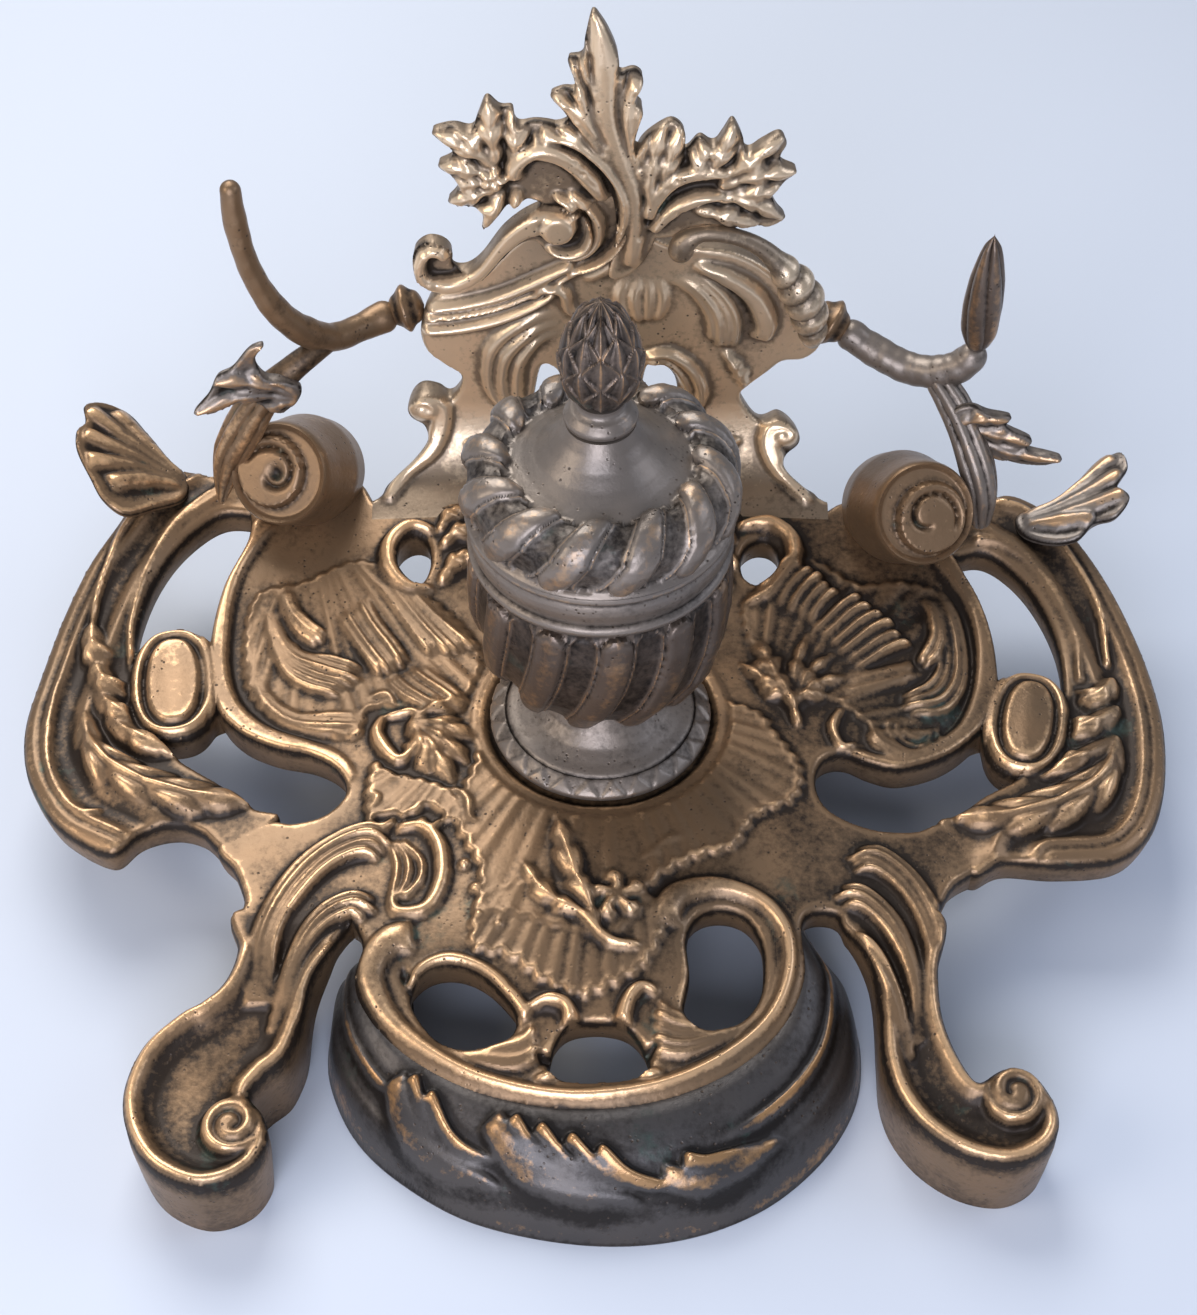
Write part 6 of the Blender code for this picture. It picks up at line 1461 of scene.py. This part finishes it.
def leaf_border(turn, radius, high, outward):
    """A row of 26 pointed leaves on the foot's edge, with a groove on its inner side."""
    border = (radius > 25.2) & (radius < 28.9) & (high > 1.2)
    saw = np.abs(((turn * 26 / (2 * np.pi)) % 1) * 2 - 1)
    share = np.clip((28.6 - radius) / 3.2, 0, 1)
    tooth = np.clip((saw - share * 0.9) * 4, 0, 1)
    swell = np.where(border, 0.5 * tooth - 0.25, 0)
    groove = -0.7 * np.exp(-((radius - 24.8) / 0.45) ** 2) * (high > 3)
    return swell + groove, 0.42 + 0.4 * swell + 0.5 * groove + 0.12 * (radius < 12.6)


turned("urn_foot_turned", rounded([(0, 0), (28.8, 0), (28.8, 1.4), (28.0, 2.4), (25.2, 4.6), (24.2, 4.6),
                                   (21.5, 5.6), (18.0, 7.4), (15.2, 10.2), (13.3, 13.6), (12.3, 17.4),
                                   (12.0, 21), (0, 21)], 0.5),
       360, brown, ["urn_foot"], push=leaf_border, at=(0, 0, URN))


# Bowl and lid: gadroons in pairs, one full and one hollow, with a fine raised edge between them
def gadroon(turn, at_height, length, radius, lean, full, hollow):
    """How far a gadroon stands out, at a share of its height; the ends are round."""
    half = radius * math.pi / 24
    # 12 pairs go round
    pair = ((turn - lean) * 12 / (2 * np.pi)) % 1
    is_full = pair < 0.5
    across = np.abs((pair % 0.5) * 4 - 1)
    to_end = np.minimum(at_height, 1 - at_height) * length
    room = np.sqrt(np.clip(1 - (1 - np.clip(to_end / half, 0, 1)) ** 2, 0.0004, 1))
    out = across / room
    within = (at_height > 0) & (at_height < 1)
    swell = np.where(is_full, full * np.sqrt(np.clip(1 - np.clip(out, 0, 1) ** 2.4, 0, 1)),
                     -hollow * (1 - np.clip(out, 0, 1) ** 3))
    edge = 0.40 * np.exp(-((out - 0.86) / 0.08) ** 2) * ~is_full
    gap = -0.65 * np.exp(-((out - 1.0) / 0.07) ** 2) * is_full
    swell = np.where(within, np.where(out < 1.08, swell + edge + gap, -0.2), 0)
    worn = np.where(is_full, 0.50 + 0.16 * (1 - np.clip(out, 0, 1)), 0.22) + 0.60 * edge / 0.40 + 0.5 * gap
    return swell, np.where(within, worn, 0.4)


# the heights between which the bowl's gadroons lie
BOWL_LOW = 22.3
BOWL_HIGH = 62.6


def bowl_gadroons(turn, radius, high, outward):
    """Gadroons over the bowl's outside, which lean more towards the foot."""
    share = (high - BOWL_LOW) / (BOWL_HIGH - BOWL_LOW)
    lean = -0.42 * np.clip(1 - share, 0, 1) ** 2.0
    swell, worn = gadroon(turn, np.clip(share, 0, 1), 50, np.maximum(radius, 12), lean, 1.5, 0.9)
    outer = (outward > -0.2) & (radius > 12.2) & (high < BOWL_HIGH)
    return np.where(outer, swell, 0), np.where(outer, worn, 0.3)


turned("urn_bowl_gadrooned", rounded([
    (0, 21.3), (12.0, 21.3), (19.5, 22.6), (25.8, 27.0), (29.8, 35.0), (31.2, 44), (31.4, 53.0),
    (30.8, 61.0), (29.6, 63.0), (29.6, 64.5), (27.6, 64.5), (26.8, 44), (20.0, 31.0), (0, 31.0)], 0.5), 440,
       dark, ["urn_bowl"], push=bowl_gadroons, at=(0, 0, URN), spacing=0.55)


def band_line(turn, radius, high, outward):
    """A smooth band: only its wear changes, bright on both beads and dark in both seams."""
    bead = np.exp(-((high - 66.4) / 1.0) ** 2) + np.exp(-((high - 77.0) / 0.8) ** 2)
    seam = np.exp(-((high - 68.0) / 0.6) ** 2) + np.exp(-((high - 75.6) / 0.5) ** 2)
    return 0 * turn, 0.42 + 0.16 * bead - 0.26 * seam * (outward > 0.3)


turned("urn_band_turned", [(28.9, 64.8), (30.9, 64.8), (31.9, 65.4), (32.2, 66.4), (31.8, 67.4),
                           (30.9, 67.9), (31.0, 68.6), (31.7, 70.4), (32.1, 72.2), (32.0, 74.2),
                           (31.4, 75.5), (31.5, 76.0), (32.3, 76.4), (32.5, 77.1), (32.1, 77.9),
                           (28.9, 78.0)],
       360, brown, ["urn_band"], push=band_line, at=(0, 0, URN), ring=True)


def lid_gadroons(turn, radius, high, outward):
    """Gadroons up the lid's side and over its shoulder."""
    # the share of the row: up the side to the shoulder first, then inwards
    low, shoulder = 79.6, 88
    share = np.where(high < shoulder, (high - low) / 22, (shoulder - low) / 22 + (32.6 - radius) / 18.0)
    outer = (share > 0) & (share < 1) & (radius > 21.6) & (outward > -0.75) & (high > 79.5)
    swell, worn = gadroon(turn, np.clip(share, 0, 1), 25, radius, 0.42 * share, 1.35, 1.15)
    rough = 0.10 * np.sin(turn * 31 + radius * 2) * np.sin(radius * 3 + turn * 17)
    return np.where(outer, swell + rough, 0), np.where(outer, worn, 0.47)


turned("lid_gadrooned", [
    (28.2, 74.4), (28.2, 78.3), (32.2, 78.3), (32.6, 78.6), (32.4, 79.2), (31.6, 79.6), (32.0, 82),
    (32.5, 85), (32.3, 87.6), (31.4, 89.8), (29.8, 91.8), (27.6, 93.4), (25.4, 94.0), (23.4, 93.8),
    (22.2, 92.6), (21.2, 92.0), (18.4, 93.4), (15.2, 95.5), (12.2, 98.2), (9.8, 101.2), (8.4, 103.6),
    (8.2, 104), (2.3, 104), (2.3, 101.0), (8, 99.0), (19, 89.8), (27.4, 85), (26.8, 80), (26.8, 74.4)], 480,
       brown, ["lid"], body="lid", push=lid_gadroons, at=(0, 0, URN), ring=True, spacing=0.55)
turned("finial_ring", [(2.3, 104.3), (7.4, 104.3), (8.3, 105.0), (8.7, 106.0), (8.4, 107.0), (7.6, 107.6),
                       (7.4, 108.0), (6.8, 108.5), (5.9, 108.8), (5.5, 109.6), (5.6, 110.9), (2.3, 110.9)],
       160, brown, ["finial_disc"], body="lid", at=(0, 0, URN), ring=True, wear_and_painted_light=0.5)


# Finial: a pinecone of overlapping lance-shaped leaves, cast solid on a threaded stud
def cone_leaves(turn, radius, high, outward):
    """Six rows of six overlapping leaves, each with a rib and a raised edge."""
    top = np.zeros(turn.shape)
    rib = np.zeros(turn.shape)
    for row in range(6):
        # rows start 4.7 mm apart, each turned half a leaf
        base = 108.5 + 4.7 * row
        share = (high - base) / (12.5 - 0.7 * row)
        sector = ((turn * 6 / (2 * np.pi) + 0.5 * (row % 2)) % 1) - 0.5
        width = 0.60 * np.clip(np.sin(np.pi * np.clip(share * 0.85 + 0.15, 0, 1)), 0, 1) ** 0.9
        out = np.abs(sector) / np.maximum(width, 0.01)
        inside = (share > 0) & (share < 1) & (out < 1) & (high > 111)
        body = (0.4 + 1.1 * share - 0.35 * out ** 2 + 0.3 * np.exp(-(out / 0.10) ** 2)
                + 0.3 * np.exp(-((out - 0.84) / 0.10) ** 2) - 0.25 * np.exp(-((out - 0.45) / 0.1) ** 2))
        better = inside & (body > top)
        rib = np.where(better, np.exp(-(out / 0.12) ** 2) + np.exp(-((out - 0.86) / 0.10) ** 2), rib)
        top = np.where(better, body, top)
    fade = 1 - ease(136.5, 139, high)
    return 1.1 * (top - 0.8) * fade, 0.08 + 0.20 * top + 0.40 * rib


turned("finial_pinecone", rounded([(0, 111.2), (5.4, 111.2), (7.2, 113.6), (8.8, 117.5), (9.3, 122),
                                   (8.7, 127), (7.0, 131.5), (4.4, 135.6), (1.6, 138.2), (0, 138.7)], 2.0),
       320, dark, ["finial_cone"], body="lid", push=cone_leaves, at=(0, 0, URN), spacing=0.36)

# Rear feet, the urn's bolt and the ink liner: the solids' own shapes, which the photo hides.
# The feet are cast bronze as the tray; rod, washer and nuts are turned iron, oiled and darkened
# with age; the liner is pressed glass, slightly green, its surface a little wavy.
for name in ("left_rear_foot", "right_rear_foot"):
    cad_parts[name].data.materials[0] = patinated_bronze(f"cast bronze of {name}", "C09A74", "6E6052",
                                                               "2C241E")

iron, iron_shader, iron_place = new_material("oiled turned iron")
# tool marks 0.4 mm apart up the axis, and rust in blotches about 5 mm across
lathe = node(iron, "ShaderNodeTexWave", {"bands_direction": 'Z'}, {
    "Vector": iron_place, "Scale": 780.0, "Distortion": 1.2, "Detail": 2.0}).outputs["Fac"]
rusted = spread(iron, noise(iron, iron_place, 210.0, 6.0, 0.65), 0.52, 0.68)
connect(iron, iron_shader, {
    "Base Color": mixed(iron, rusted, linear("6A6663"), linear("5A3B2A")),
    "Roughness": spread(iron, rusted, 0.0, 1.0, 0.38, 0.8),
    "Metallic": spread(iron, rusted, 0.0, 1.0, 1.0, 0.1),
    "Normal": bumped(iron, lathe, 0.00004, 0.6)})
for name in ("urn_tie_rod", "urn_washer", "urn_nut", "finial_nut"):
    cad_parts[name].data.materials[0] = iron

glass, glass_shader, glass_place = new_material("pressed glass")
# seeds and waves of the pressing, about 4 mm across, and a faint film of dried ink
wave = noise(glass, glass_place, 240.0)
film = noise(glass, glass_place, 90.0, 4.0, 0.6)
connect(glass, glass_shader, {
    "Base Color": mixed(glass, film, linear("DDEBE2"), linear("B9CCC6")),
    "Roughness": spread(glass, film, 0.4, 0.7, 0.06, 0.22),
    "Normal": bumped(glass, wave, 0.0002, 0.5)})
glass_shader.inputs["Transmission Weight"].default_value = 0.9
glass_shader.inputs["IOR"].default_value = 1.5
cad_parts["ink_liner"].data.materials[0] = glass
